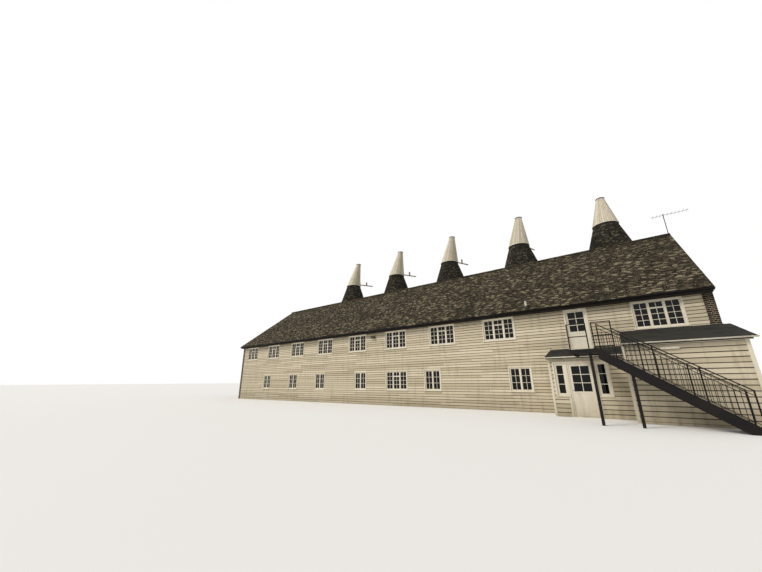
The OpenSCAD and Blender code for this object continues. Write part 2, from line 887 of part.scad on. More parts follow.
// Cuts that part a ring into eight, with one part centred on the back
module ring_joints() {
    for (i = [0 : 3]) rotate([0, 0, 22.5 + 45 * i])
        translate([-far / 2, -joint_w / 2, -1]) cube([far, joint_w, far]);
}

module kiln_roof_inside() {
    rise = 400;
    translate([0, 0, kiln_eaves - rise])
        cylinder(r1 = kiln_foot_r - kiln_roof_t + rise * kiln_run,
            r2 = curb_r - kiln_roof_t, h = kiln_top_z - kiln_eaves + rise, $fn = 128);
}

module kiln_walls() {
    color("firebrick") at_kilns() difference() {
        intersection() {
            cylinder(r = kiln_r, h = kiln_eaves + 450, $fn = 128);
            union() {
                cylinder(r = kiln_r, h = kiln_eaves, $fn = 128);
                kiln_roof_inside();
            }
        }
        translate([0, 0, -1]) cylinder(r = kiln_inner_r, h = far, $fn = 128);
        ring_joints();
        for (level = [[lower_sill, lower_head], [upper_sill, upper_head]])
            wall_hole(0, kiln_window_w, level[0], level[1], kiln_inner_r - 100, kiln_r);
    }
}

module kiln_roofs() {
    color("dimgray") at_kilns() difference() {
        translate([0, 0, kiln_eaves])
            cylinder(r1 = kiln_foot_r, r2 = curb_r, h = kiln_top_z - kiln_eaves, $fn = 128);
        kiln_roof_inside();
        ring_joints();
    }
}

module kiln_curbs() {
    beam_w = 120;
    color("saddlebrown") at_kilns() difference() {
        union() {
            difference() {
                translate([0, 0, kiln_top_z]) cylinder(r = curb_r, h = curb_h);
                translate([0, 0, kiln_top_z - 1]) cylinder(r = curb_r - kiln_roof_t, h = far);
            }
            translate([-curb_r + kiln_roof_t / 2, -beam_w / 2, kiln_top_z])
                cube([2 * curb_r - kiln_roof_t, beam_w, beam_h]);
            translate([0, 0, kiln_top_z + beam_h - hub_h]) cylinder(r = hub_r, h = hub_h);
        }
        translate([0, 0, kiln_top_z + beam_h - spindle_depth])
            cylinder(r = spindle_r + spindle_play, h = far);
    }
}

// The skewed cone of a cowl, its foot on z = 0, leaning along +Y
module cowl_cone(height, inset) {
    hull() {
        cylinder(r = cowl_r - inset, h = 1, $fn = 48);
        translate([0, cowl_lean, height - 1]) cylinder(r = cowl_top_r - inset, h = 1, $fn = 48);
    }
}

module cowl_mouth(height) {
    head = height - 260;
    foot_w = 0.6 * cowl_r;
    head_w = 0.6 * cowl_top_r;
    along_y(cowl_r / 3, far / 4) polygon([
        [-foot_w, cowl_mouth_foot], [foot_w, cowl_mouth_foot], [head_w, head], [-head_w, head]
    ]);
}

module cowl(height) {
    ring_inner_r = cowl_r - 80;
    difference() {
        cowl_cone(height, 0);
        cowl_cone(height, cowl_t);
        cowl_mouth(height);
    }
    difference() {
        cylinder(r = cowl_r, h = cowl_ring_h, $fn = 180);
        translate([0, 0, -1]) cylinder(r = ring_inner_r, h = far, $fn = 180);
    }
    translate([-ring_inner_r - 20, -cowl_bar_w / 2, 0])
        cube([2 * ring_inner_r + 40, cowl_bar_w, cowl_ring_h]);
    translate([0, 0, spindle_foot]) cylinder(r = spindle_r, h = cowl_ring_h - spindle_foot);
    translate([0, cowl_lean, height]) cylinder(r = cap_r, h = cap_h);
}

module vane(height) {
    fin_y = cowl_r + vane_reach * 0.5;
    difference() {
        union() {
            translate([-vane_t / 2, cowl_r / 2, vane_z])
                cube([vane_t, cowl_r / 2 + vane_reach, vane_h]);
            translate([-vane_t / 2, fin_y - 90, vane_z]) cube([vane_t, 180, 560]);
        }
        cowl_cone(height, 0);
    }
}

module at_cowl(i) {
    translate([kiln_x[i - 1], kiln_y, cowl_foot]) rotate([0, 0, -cowl_turn - cowl_heading[i - 1]])
        children();
}

module cowl_1() {
    color("white") at_cowl(1) cowl(cowl_h);
}

module cowl_2() {
    color("white") at_cowl(2) cowl(cowl_h);
}

module cowl_3() {
    color("white") at_cowl(3) cowl(cowl_h);
}

module cowl_4() {
    color("white") at_cowl(4) cowl(cowl_h);
}

module cowl_5() {
    color("white") at_cowl(5) cowl(end_cowl_h);
}

module vane_1() {
    color("white") at_cowl(1) vane(cowl_h);
}

module vane_2() {
    color("white") at_cowl(2) vane(cowl_h);
}

module vane_3() {
    color("white") at_cowl(3) vane(cowl_h);
}

module vane_4() {
    color("white") at_cowl(4) vane(cowl_h);
}

module vane_5() {
    color("white") at_cowl(5) vane(end_cowl_h);
}

// Aerial on the right end of the ridge
module aerial() {
    mast_x = half_length + verge_reach - 60;
    foot = ridge_height + ridge_r / 2;
    boom_z = foot + mast_h - 80;
    boom_shift = 280;
    color("silver") translate([mast_x, 0, foot]) {
        cylinder(r = 20, h = mast_h, $fn = 16);
        translate([boom_shift, 0, boom_z - foot]) rotate([0, 90, 0]) {
            translate([0, 0, -boom_l / 2]) cylinder(r = 10, h = boom_l, $fn = 16);
            for (i = [0 : 9]) translate([0, -260, -boom_l / 2 + 60 + i * (boom_l - 120) / 9])
                rotate([-90, 0, 0]) cylinder(r = 5, h = 520, $fn = 12);
        }
    }
}

// Short vent pipe that stands on the front roof above the eaves
module vent_pipe() {
    vent_x = porch_left - 880;
    vent_y = front_y - 100;
    foot_z = roof_top(vent_y);
    color("white") difference() {
        translate([vent_x, vent_y, foot_z - 300]) cylinder(r = vent_r, h = vent_top - foot_z + 300);
        along_x(far) polygon([
            [-far, roof_top(-far)], [0, roof_top(0)], [0, -far], [-far, -far]
        ]);
    }
}

// A lamp high on the front wall and a batten light under the store's gutter
module wall_lamps() {
    lamp_x = lower_wide_x - 1850;
    lamp_z = upper_head - 340;
    color("black") block(lamp_x - lamp_w / 2, lamp_x + lamp_w / 2, front_y - lamp_out, front_y,
        lamp_z, lamp_z + lamp_h);
    batten_x = store_left + store_length / 3 + 10;
    batten_z = store_roof_low - 280;
    color("white") block(batten_x, batten_x + batten_l, store_y - batten_out, store_y,
        batten_z, batten_z + batten_h);
}

ground_floor();
first_floor();
front_wall_lower_left();
front_wall_lower_right();
doorway_lintel();
front_wall_upper();
rear_wall();
left_gable_wall();
right_gable_wall();
front_roof();
rear_roof();
ridge_tiles();
eaves_boards();
gutters();
ground_window_frames();
first_floor_window_frames();
ground_window_glass();
first_floor_window_glass();
upper_door_frame();
upper_door();
upper_door_glass();
porch_front_wall();
porch_front_head();
porch_end_wall();
porch_roof();
sidelight_frames();
door_frame();
entrance_door();
entrance_door_glass();
door_handles();
store_front_wall();
store_end_walls();
store_roof();
landing_deck();
landing_railings();
stair_strings();
stair_treads();
stair_railings();
props();
kiln_walls();
kiln_roofs();
kiln_curbs();
cowl_1();
cowl_2();
cowl_3();
cowl_4();
cowl_5();
vane_1();
vane_2();
vane_3();
vane_4();
vane_5();
aerial();
vent_pipe();
wall_lamps();
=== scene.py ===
# Oast house: boarded range, lean-tos, outside stair and five tiled kilns, dressed over the fixed frame.
import math

import bmesh
import bpy
import numpy as np
from mathutils import Euler, Matrix, Vector


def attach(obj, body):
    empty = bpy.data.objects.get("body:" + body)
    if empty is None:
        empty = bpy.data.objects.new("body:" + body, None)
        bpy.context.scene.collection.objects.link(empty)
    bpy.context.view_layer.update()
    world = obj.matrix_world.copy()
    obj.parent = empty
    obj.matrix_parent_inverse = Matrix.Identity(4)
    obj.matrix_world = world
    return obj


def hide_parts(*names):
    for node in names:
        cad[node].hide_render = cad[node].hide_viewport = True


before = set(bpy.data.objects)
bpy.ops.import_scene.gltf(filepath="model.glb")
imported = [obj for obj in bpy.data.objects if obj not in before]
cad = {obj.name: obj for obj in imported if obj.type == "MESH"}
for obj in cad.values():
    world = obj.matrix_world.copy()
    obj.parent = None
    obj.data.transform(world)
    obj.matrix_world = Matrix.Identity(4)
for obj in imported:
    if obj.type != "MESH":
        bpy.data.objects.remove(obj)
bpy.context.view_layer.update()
scene = bpy.context.scene
print("frame:", len(cad), "nodes")


# Helpers
def hexColor(code):  # an sRGB colour as the linear values that the shader wants
    parts = [int(code[i:i + 2], 16) / 255 for i in (1, 3, 5)]
    return [p / 12.92 if p <= 0.04045 else ((p + 0.055) / 1.055) ** 2.4 for p in parts] + [1.0]


def addNode(tree, kind, inputs=None, **settings):  # inputs: socket name or number, to a value or a socket
    node = tree.nodes.new(kind)
    for key, value in settings.items():
        setattr(node, key, value)
    for key, value in (inputs or {}).items():
        if isinstance(value, bpy.types.NodeSocket):
            tree.links.new(value, node.inputs[key])
        else:
            node.inputs[key].default_value = value
    return node


def startMaterial(name, **values):  # returns the material, its tree, its shader and its place in metres
    material = bpy.data.materials.new(name)
    material.use_nodes = True
    tree = material.node_tree
    shader = tree.nodes["Principled BSDF"]
    for key, value in values.items():
        shader.inputs[key.replace("_", " ")].default_value = value
    place = addNode(tree, "ShaderNodeTexCoord").outputs["Object"]
    return material, tree, shader, place


def startTree(name, sizes):  # a Geometry Nodes tree with named inputs
    tree = bpy.data.node_groups.new(name, "GeometryNodeTree")
    tree.interface.new_socket("Geometry", in_out="INPUT", socket_type="NodeSocketGeometry")
    tree.interface.new_socket("Geometry", in_out="OUTPUT", socket_type="NodeSocketGeometry")
    for key, kind, value in sizes:
        socket = tree.interface.new_socket(key, in_out="INPUT", socket_type="NodeSocket" + kind)
        if value is not None:
            socket.default_value = value
    return tree, addNode(tree, "NodeGroupInput").outputs


# realized, because the export drops instances
def endTree(tree, geometry, material):  # realized, so each piece is a plain mesh without instances
    real = addNode(tree, "GeometryNodeRealizeInstances", {"Geometry": geometry})
    painted = addNode(tree, "GeometryNodeSetMaterial", {"Geometry": real.outputs[0], "Material": material})
    addNode(tree, "NodeGroupOutput", {"Geometry": painted.outputs[0]})
    return tree


def pointHolder(name, points, **fields):  # an object of loose points with one attribute per field
    mesh = bpy.data.meshes.new(name)
    mesh.from_pydata([tuple(p) for p in points], [], [])
    for key, values in fields.items():
        values = np.array(values, float)
        wide = values.ndim == 2
        attribute = mesh.attributes.new(key, "FLOAT_VECTOR" if wide else "FLOAT", "POINT")
        attribute.data.foreach_set("vector" if wide else "value", values.ravel())
    holder = bpy.data.objects.new(name, mesh)
    scene.collection.objects.link(holder)
    return holder


def growPiece(holder, tree, sizes, body):  # runs the tree once and keeps the plain mesh
    modifier = holder.modifiers.new("grow", "NODES")
    modifier.node_group = tree
    for item in tree.interface.items_tree:
        if item.in_out == "INPUT" and item.name in sizes:
            modifier[item.identifier] = sizes[item.name]
    graph = bpy.context.evaluated_depsgraph_get()
    mesh = bpy.data.meshes.new_from_object(holder.evaluated_get(graph), preserve_all_data_layers=True,
                                           depsgraph=graph)
    holder.modifiers.clear()
    holder.data = mesh
    for key in ("turn", "size"):
        if key in mesh.attributes:
            mesh.attributes.remove(mesh.attributes[key])
    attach(holder, body)
    print("piece:", holder.name, len(mesh.polygons), "faces")
    return holder


def meshPiece(name, build, materials, body, smooth=False):  # build fills a bmesh
    mesh = bpy.data.meshes.new(name)
    work = bmesh.new()
    build(work)
    bmesh.ops.recalc_face_normals(work, faces=work.faces)
    work.to_mesh(mesh)
    work.free()
    for material in materials:
        mesh.materials.append(material)
    mesh.polygons.foreach_set("use_smooth", [smooth] * len(mesh.polygons))
    piece = bpy.data.objects.new(name, mesh)
    scene.collection.objects.link(piece)
    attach(piece, body)
    print("piece:", name, len(mesh.polygons), "faces")
    return piece


def dress(material, *names):  # gives CAD objects their finish
    for name in names:
        node = cad[name]
        if not node.data.materials:
            node.data.materials.append(material)
        for part in node.material_slots:
            part.material = material


# Main sizes, in metres
house = {
    "frontY": -5.6, "rearY": 5.6, "gableX": 17.0, "slope": 0.7571428571, "ridge": 9.4, "eavesY": 5.9,
    "roofHalf": 17.05, "kilnX": [-14.17, -7.07, 0.05, 7.37, 14.35], "kilnY": 7.6, "kilnR": 2.75,
    "kilnGrid": 7.1}
pitch = math.atan(house["slope"])
kilnX, kilnY = house["kilnX"], house["kilnY"]
random = np.random.default_rng(41)


# Finishes
def paintedBoards(name, base, shade, dirt, roughness):
    # Oil paint on sawn softwood: satin, faintly ribbed along the grain (lines 6 mm apart), greyer in streaks
    # 180 mm wide and 1.4 m long where rain has washed dust down, and painted shade, nearly black, where a
    # board lies under the next and in the seams between cowl boards
    material, tree, shader, place = startMaterial(name, IOR=1.48, Specular_IOR_Level=0.35)
    tone = addNode(tree, "ShaderNodeAttribute", attribute_name="tone").outputs["Fac"]
    board = addNode(tree, "ShaderNodeMix", {0: tone, 6: hexColor(base), 7: hexColor(shade)}, data_type="RGBA")
    grainPlace = addNode(tree, "ShaderNodeMapping", {"Vector": place, "Scale": (6, 6, 160)})
    grain = addNode(tree, "ShaderNodeTexNoise", {
        "Vector": grainPlace.outputs[0], "Scale": 1.0, "Detail": 5.0})
    washPlace = addNode(tree, "ShaderNodeMapping", {"Vector": place, "Scale": (5.5, 5.5, 0.7)})
    wash = addNode(tree, "ShaderNodeTexNoise", {"Vector": washPlace.outputs[0], "Scale": 1.0, "Detail": 6.0})
    washed = addNode(tree, "ShaderNodeMapRange", {"Value": wash.outputs[0], 1: 0.52, 2: 0.8, 3: 0.0, 4: 0.42})
    high = addNode(tree, "ShaderNodeSeparateXYZ", {0: place})
    splash = addNode(tree, "ShaderNodeMapRange", {"Value": high.outputs[2], 1: 0.0, 2: 0.9, 3: 0.5, 4: 0.0})
    soil = addNode(tree, "ShaderNodeMath", {
        0: washed.outputs[0], 1: splash.outputs[0]}, operation="ADD", use_clamp=True)
    worn = addNode(tree, "ShaderNodeMix", {
        0: soil.outputs[0], 6: board.outputs[2], 7: hexColor(dirt)}, data_type="RGBA")
    lined = addNode(tree, "ShaderNodeMapRange", {
        "Value": grain.outputs[0], 1: 0.35, 2: 0.65, 3: 0.9, 4: 1.04})
    final = addNode(tree, "ShaderNodeMix", {
        0: 1.0, 6: worn.outputs[2], 7: lined.outputs[0]}, data_type="RGBA", blend_type="MULTIPLY")
    lap = addNode(tree, "ShaderNodeAttribute", attribute_name="lap").outputs["Fac"]
    # Painted shade: near the top of each board, where the next one laps over it, and in the cowl boards'
    # seams, the colour is multiplied nearly to black
    paintedLapShade = addNode(tree, "ShaderNodeMapRange", {"Value": lap, 1: 0.74, 2: 0.87, 3: 1.0, 4: 0.05})
    shaded = addNode(tree, "ShaderNodeMix", {
        0: 1.0, 6: final.outputs[2], 7: paintedLapShade.outputs[0]}, data_type="RGBA", blend_type="MULTIPLY")
    tree.links.new(shaded.outputs[2], shader.inputs["Base Color"])
    shader.inputs["Roughness"].default_value = roughness
    bump = addNode(tree, "ShaderNodeBump", {"Height": grain.outputs[0], "Strength": 0.35, "Distance": 0.002})
    tree.links.new(bump.outputs[0], shader.inputs["Normal"])
    return material


# Wall boards: the dullest and most washed cream, so the black line of painted shade under each board stands
# out
creamBoards = paintedBoards("creamPaintedWeatherboard", "#dacdb3", "#baad91", "#7f7359", 0.55)
# Joinery: whiter and shinier than the walls, which picks the windows and doors out
whiteJoinery = paintedBoards("whitePaintedJoinery", "#e6decb", "#dbd2bd", "#a89d83", 0.38)
# Cowl boards: chalky white with tired patches and seams darkened by painted shade, bright against the sooty
# tiles
cowlPaint = paintedBoards("whitePaintedCowlBoards", "#dfd5c0", "#baaf96", "#746a53", 0.6)
# Vanes: a dull grey-brown, far darker than the cowls' white, that barely catches the light
greyVane = paintedBoards("greyBrownVaneTimber", "#a3967b", "#8e8268", "#5d543f", 0.75)


def tileFinish(name, tones, lichen, moss):
    # Hand-made clay tile, fired unevenly: matt, each tile its own tone, sandy down to 11 mm, pale lichen in
    # spots of 80 mm, and darker areas of 1.8 m where moss keeps the roof damp
    material, tree, shader, place = startMaterial(name, IOR=1.5, Specular_IOR_Level=0.06, Roughness=0.92)
    tone = addNode(tree, "ShaderNodeAttribute", attribute_name="tone").outputs["Fac"]
    ramp = addNode(tree, "ShaderNodeValToRGB", {"Fac": tone})
    stops = ramp.color_ramp.elements
    for i, (code, share) in enumerate(zip(tones, (0.0, 0.4, 0.8, 1.0))):  # darkest first, few of the palest
        stop = stops[0] if i == 0 else (stops[-1] if i == 3 else stops.new(share))
        stop.position = share
        stop.color = hexColor(code)
    broad = addNode(tree, "ShaderNodeTexNoise", {
        "Vector": place, "Scale": 0.55, "Detail": 6.0, "Roughness": 0.62})
    patch = addNode(tree, "ShaderNodeMapRange", {"Value": broad.outputs[0], 1: 0.48, 2: 0.66, 3: 0.0, 4: 0.6})
    aged = addNode(tree, "ShaderNodeMix", {
        0: patch.outputs[0], 6: ramp.outputs[0], 7: hexColor(moss)}, data_type="RGBA")
    spots = addNode(tree, "ShaderNodeTexNoise", {
        "Vector": place, "Scale": 13.0, "Detail": 5.0, "Roughness": 0.75})
    dots = addNode(tree, "ShaderNodeMapRange", {"Value": spots.outputs[0], 1: 0.57, 2: 0.66, 3: 0.0, 4: 0.9})
    spotted = addNode(tree, "ShaderNodeMix", {
        0: dots.outputs[0], 6: aged.outputs[2], 7: hexColor(lichen)}, data_type="RGBA")
    sand = addNode(tree, "ShaderNodeTexNoise", {"Vector": place, "Scale": 90.0, "Detail": 3.0})
    sandy = addNode(tree, "ShaderNodeMapRange", {"Value": sand.outputs[0], 1: 0.3, 2: 0.7, 3: 0.82, 4: 1.12})
    final = addNode(tree, "ShaderNodeMix", {
        0: 1.0, 6: spotted.outputs[2], 7: sandy.outputs[0]}, data_type="RGBA", blend_type="MULTIPLY")
    tree.links.new(final.outputs[2], shader.inputs["Base Color"])
    bump = addNode(tree, "ShaderNodeBump", {"Height": sand.outputs[0], "Strength": 0.5, "Distance": 0.003})
    tree.links.new(bump.outputs[0], shader.inputs["Normal"])
    return material


# Range roof: brown-black with the most lichen, a speckled slope; kilns: sooted, darker and plainer;
# ridge: a little paler and smoother, so it draws the skyline
rangeTile = tileFinish(
    "weatheredPlainTile", ["#221f19", "#373128", "#544c3e", "#9b9176"], "#a69c82", "#24221c")
kilnTile = tileFinish("sootyKilnTile", ["#1b1916", "#292621", "#3a362f", "#696353"], "#7d7664", "#1b1b17")
ridgeClay = tileFinish(
    "halfRoundRidgeClay", ["#2d2922", "#3b352b", "#4c4537", "#665d4a"], "#857c66", "#2b2923")


def brickFinish(name, arc):
    # Dark stock brick, 225 by 75 mm with its 11 mm joint: coarse and matt, gritty at 17 mm, pale lime mortar
    # set back so the courses read, soot in clouds of 1.2 m
    material, tree, shader, place = startMaterial(name, IOR=1.5, Specular_IOR_Level=0.1, Roughness=0.92)
    at = addNode(tree, "ShaderNodeSeparateXYZ", {0: place}).outputs
    if arc:  # the bricks follow the round wall, counted from each kiln's own axis
        count = addNode(tree, "ShaderNodeMath", {0: at[0], 1: house["kilnGrid"]}, operation="DIVIDE")
        index = addNode(tree, "ShaderNodeMath", {0: count.outputs[0]}, operation="ROUND")
        share = addNode(tree, "ShaderNodeMapRange", {
            "Value": index.outputs[0], 1: -2.0, 2: 2.0, 3: 0.1, 4: 0.9})
        shift = addNode(tree, "ShaderNodeValToRGB", {"Fac": share.outputs[0]})
        shift.color_ramp.interpolation = "CONSTANT"
        for i, centre in enumerate(kilnX):  # how far each axis stands from an even row
            metres = centre - (i - 2) * house["kilnGrid"]
            stop = shift.color_ramp.elements[i] if i < 2 else shift.color_ramp.elements.new(i / 5)
            stop.position = i / 5
            stop.color = (metres, metres, metres, 1)
        axis = addNode(tree, "ShaderNodeMath", {
            0: index.outputs[0], 1: house["kilnGrid"], 2: shift.outputs[0]}, operation="MULTIPLY_ADD")
        dx = addNode(tree, "ShaderNodeMath", {0: at[0], 1: axis.outputs[0]}, operation="SUBTRACT")
        dy = addNode(tree, "ShaderNodeMath", {0: at[1], 1: kilnY}, operation="SUBTRACT")
        angle = addNode(tree, "ShaderNodeMath", {0: dy.outputs[0], 1: dx.outputs[0]}, operation="ARCTAN2")
        along = addNode(tree, "ShaderNodeMath", {
            0: angle.outputs[0], 1: house["kilnR"]}, operation="MULTIPLY")
    else:
        along = addNode(tree, "ShaderNodeMath", {0: at[0], 1: at[1]}, operation="ADD")
    flat = addNode(tree, "ShaderNodeCombineXYZ", {0: along.outputs[0], 1: at[2]})
    wobble = addNode(tree, "ShaderNodeTexNoise", {"Vector": place, "Scale": 14.0, "Detail": 2.0})
    bent = addNode(tree, "ShaderNodeVectorMath", {
        0: wobble.outputs[1], 1: (0.006, 0.006, 0)}, operation="MULTIPLY")
    laid = addNode(tree, "ShaderNodeVectorMath", {0: flat.outputs[0], 1: bent.outputs[0]}, operation="ADD")
    bond = addNode(tree, "ShaderNodeTexBrick", {
        "Vector": laid.outputs[0], "Scale": 1.0, "Color1": hexColor("#483d33"),
        "Color2": hexColor("#231f1b"), "Mortar": hexColor("#c2b69c"), "Mortar Size": 0.0055,
        "Mortar Smooth": 0.15, "Bias": -0.1, "Brick Width": 0.225, "Row Height": 0.075}, offset=0.5,
        squash=0.5, squash_frequency=2)
    rough = addNode(tree, "ShaderNodeTexNoise", {"Vector": place, "Scale": 60.0, "Detail": 6.0})
    soot = addNode(tree, "ShaderNodeTexNoise", {"Vector": place, "Scale": 0.8, "Detail": 5.0})
    sooty = addNode(tree, "ShaderNodeMapRange", {"Value": soot.outputs[0], 1: 0.35, 2: 0.7, 3: 0.72, 4: 1.15})
    grit = addNode(tree, "ShaderNodeMapRange", {"Value": rough.outputs[0], 1: 0.3, 2: 0.7, 3: 0.75, 4: 1.2})
    both = addNode(tree, "ShaderNodeMath", {0: sooty.outputs[0], 1: grit.outputs[0]}, operation="MULTIPLY")
    final = addNode(tree, "ShaderNodeMix", {
        0: 1.0, 6: bond.outputs["Color"], 7: both.outputs[0]}, data_type="RGBA", blend_type="MULTIPLY")
    tree.links.new(final.outputs[2], shader.inputs["Base Color"])
    proud = addNode(tree, "ShaderNodeMath", {0: 1.0, 1: bond.outputs["Fac"]}, operation="SUBTRACT")
    height = addNode(tree, "ShaderNodeMath", {
        0: rough.outputs[0], 1: 0.25, 2: proud.outputs[0]}, operation="MULTIPLY_ADD")
    bump = addNode(tree, "ShaderNodeBump", {"Height": height.outputs[0], "Strength": 0.8, "Distance": 0.008})
    tree.links.new(bump.outputs[0], shader.inputs["Normal"])
    return material


# The same brick on flat walls and round the kilns, where the courses bend without a seam to the front
flatBrick = brickFinish("darkStockBrick", False)
roundBrick = brickFinish("darkStockBrickRound", True)


def mottledFinish(name, light, dark, grainMm, bumpMm, **values):
    # One mottled coat: two close tones in patches, and a fine grain of the given size
    material, tree, shader, place = startMaterial(name, **values)
    broad = addNode(tree, "ShaderNodeTexNoise", {
        "Vector": place, "Scale": 1.7, "Detail": 6.0, "Roughness": 0.6})
    fine = addNode(tree, "ShaderNodeTexNoise", {"Vector": place, "Scale": 1000 / grainMm, "Detail": 4.0})
    mixed = addNode(tree, "ShaderNodeMath", {0: fine.outputs[0], 1: broad.outputs[0]}, operation="ADD")
    share = addNode(tree, "ShaderNodeMapRange", {"Value": mixed.outputs[0], 1: 0.75, 2: 1.25})
    tint = addNode(tree, "ShaderNodeMix", {
        0: share.outputs[0], 6: hexColor(dark), 7: hexColor(light)}, data_type="RGBA")
    tree.links.new(tint.outputs[2], shader.inputs["Base Color"])
    bump = addNode(tree, "ShaderNodeBump", {
        "Height": fine.outputs[0], "Strength": 0.5, "Distance": bumpMm / 1000})
    tree.links.new(bump.outputs[0], shader.inputs["Normal"])
    return material


# Mineral felt: slate grit takes all shine off it, a flat dark plane with chalky wear in 12 mm flecks
mineralFelt = mottledFinish("greyMineralFelt", "#3b3a35", "#282724", 12, 0.8, Roughness=0.9,
                            Specular_IOR_Level=0.08)
# Lead dressed into corners: a soft blue-grey sheen with 30 mm clouds of oxide
leadSheet = mottledFinish("weatheredLeadSheet", "#53524e", "#343433", 30, 1.0, Roughness=0.6, Metallic=0.4)
# Tarred softwood: near black, a slight lift of light along edges, 25 mm brush marks. On the eaves boards and
# kiln curbs the black is partly real tar and partly painted shade, for the dark band under the eaves and
# under each cowl's rim
tarredTimberAndShade = mottledFinish("tarredSoftwoodAndShade", "#2a2621", "#161412", 25, 1.2, Roughness=0.7,
                             Specular_IOR_Level=0.15)
# Lime mortar: pale and dead flat, 6 mm grit, the light line under the verge tiles
limeMortar = mottledFinish("paleLimeMortar", "#b0a58d", "#857b66", 6, 1.0, Roughness=0.95)
# Cast sills: buff and matt with 8 mm stones showing, lighter than the brick round them
stoneSill = mottledFinish("castConcreteSill", "#9a917f", "#6f6858", 8, 1.0, Roughness=0.9)
# Floated concrete floor: an even dull grey, 9 mm grain
pouredConcrete = mottledFinish("floatedConcrete", "#8b857a", "#6e695f", 9, 0.8, Roughness=0.9)
# Scrubbed pine: warm brown behind the glass, 20 mm figure
pineFloor = mottledFinish("scrubbedPineBoards", "#8f7450", "#6e5638", 20, 0.8, Roughness=0.6)
# Gloss-painted mild steel, dulled by dust: black with broad soft highlights, rust blooming in 7 mm specks
blackSteel = mottledFinish("blackPaintedSteel", "#1b1613", "#0b0a09", 7, 0.3, Roughness=0.5, IOR=1.5,
                           Specular_IOR_Level=0.2)
# Cast gutters under thick black paint: the dark line under the eaves, 15 mm lumps in its highlights
blackGutter = mottledFinish("blackCastGutter", "#181614", "#0a0909", 15, 0.4, Roughness=0.5, IOR=1.5,
                            Specular_IOR_Level=0.2)
# Extruded gutter: smooth and clean, a sharp white line along each lean-to, dust only in 60 mm clouds
whiteGutter = mottledFinish("whiteExtrudedGutter", "#e6dfce", "#c9c1ab", 60, 0.1, Roughness=0.35, IOR=1.53)
# Old pipe: the same white gone chalky in 40 mm patches, no shine left
whitePipe = mottledFinish("chalkyWhitePipe", "#ddd6c4", "#b9b09a", 40, 0.2, Roughness=0.55, IOR=1.53)
# Old aluminium: dark grey against the sky, its sheen broken up by a 5 mm bloom of oxide
dullAluminium = mottledFinish("oxidisedAluminium", "#5d5b56", "#403e3a", 5, 0.1, Roughness=0.6, Metallic=0.4)
# Lacquered iron: black with the sharpest small highlights, 4 mm orange peel
blackIron = mottledFinish("blackLacqueredIron", "#1c1a18", "#0e0d0c", 4, 0.2, Roughness=0.4, IOR=1.5)

# Drawn sheet glass over dark rooms: reads near black by day, its near-black colour painted shade for the
# unlit rooms behind; waves 0.4 m long bend its reflections
paneGlass, tree, shader, place = startMaterial(
    "wavyDrawnGlass", Roughness=0.03, IOR=1.52, Specular_IOR_Level=0.1, Transmission_Weight=0.25,
    Base_Color=hexColor("#0a0c0b"))
wave = addNode(tree, "ShaderNodeTexNoise", {"Vector": place, "Scale": 2.6, "Detail": 1.0})
ripple = addNode(tree, "ShaderNodeBump", {"Height": wave.outputs[0], "Strength": 0.25, "Distance": 0.01})
tree.links.new(ripple.outputs[0], shader.inputs["Normal"])
print("finishes:", len(bpy.data.materials))

dress(pouredConcrete, "ground_floor")
dress(pineFloor, "first_floor")
dress(creamBoards, "front_wall_lower_left", "front_wall_lower_right", "doorway_lintel", "front_wall_upper",
      "porch_front_wall", "porch_front_head", "porch_end_wall", "store_front_wall", "store_end_walls")
dress(flatBrick, "rear_wall", "left_gable_wall", "right_gable_wall")
dress(roundBrick, "kiln_walls")
# Eaves boards and kiln curbs: near-black tar, partly painted shade for the dark band under the eaves and
# under each cowl's rim
dress(tarredTimberAndShade, "front_roof", "rear_roof", "kiln_roofs", "eaves_boards", "kiln_curbs")
dress(mineralFelt, "porch_roof", "store_roof")
dress(whiteJoinery, "ground_window_frames", "first_floor_window_frames", "upper_door_frame", "upper_door",
      "sidelight_frames", "door_frame", "entrance_door")
dress(paneGlass, "ground_window_glass", "first_floor_window_glass", "upper_door_glass", "entrance_door_glass")
dress(blackIron, "door_handles", "wall_lamps")
dress(blackSteel, "landing_deck", "landing_railings", "stair_strings", "stair_treads", "stair_railings",
      "props")
dress(cowlPaint, "cowl_1", "cowl_2", "cowl_3", "cowl_4", "cowl_5")
dress(greyVane, "vane_1", "vane_2", "vane_3", "vane_4", "vane_5")
dress(dullAluminium, "aerial")
dress(whitePipe, "vent_pipe")
dress(ridgeClay, "ridge_tiles")
dress(blackGutter, "gutters")

# Trees. Laid tiles: a wedge, thickest at its butt, lies on the slope and tilts a little at random
tileSizes = [
    ("Tile Width", "Float", 0.165), ("Tile Length", "Float", 0.165), ("Butt Thickness", "Float", 0.014),
    ("Tilt", "Float", 0.012), ("Seed", "Int", 5), ("Finish", "Material", None)]
layTiles, given = startTree("layTiles", tileSizes)
wedge = addNode(layTiles, "GeometryNodeMeshCylinder", {"Vertices": 3, "Radius": 1.0, "Depth": 1.0})
corner = addNode(layTiles, "ShaderNodeSeparateXYZ", {
    0: addNode(layTiles, "GeometryNodeInputPosition").outputs[0]})
head = addNode(layTiles, "ShaderNodeMapRange", {
    "Value": corner.outputs[0], 1: -0.5, 2: 1.0, 4: given["Tile Length"]})
butt = addNode(layTiles, "ShaderNodeMapRange", {
    "Value": corner.outputs[1], 1: 0.0, 2: 0.1, 4: given["Butt Thickness"]})
side = addNode(layTiles, "ShaderNodeMath", {
    0: corner.outputs[2], 1: given["Tile Width"]}, operation="MULTIPLY")
shape = addNode(layTiles, "ShaderNodeCombineXYZ", {
    0: side.outputs[0], 1: head.outputs[0], 2: butt.outputs[0]})
tile = addNode(layTiles, "GeometryNodeSetPosition", {
    "Geometry": wedge.outputs[0], "Position": shape.outputs[0]})
turn = addNode(layTiles, "GeometryNodeInputNamedAttribute", {"Name": "turn"}, data_type="FLOAT_VECTOR")
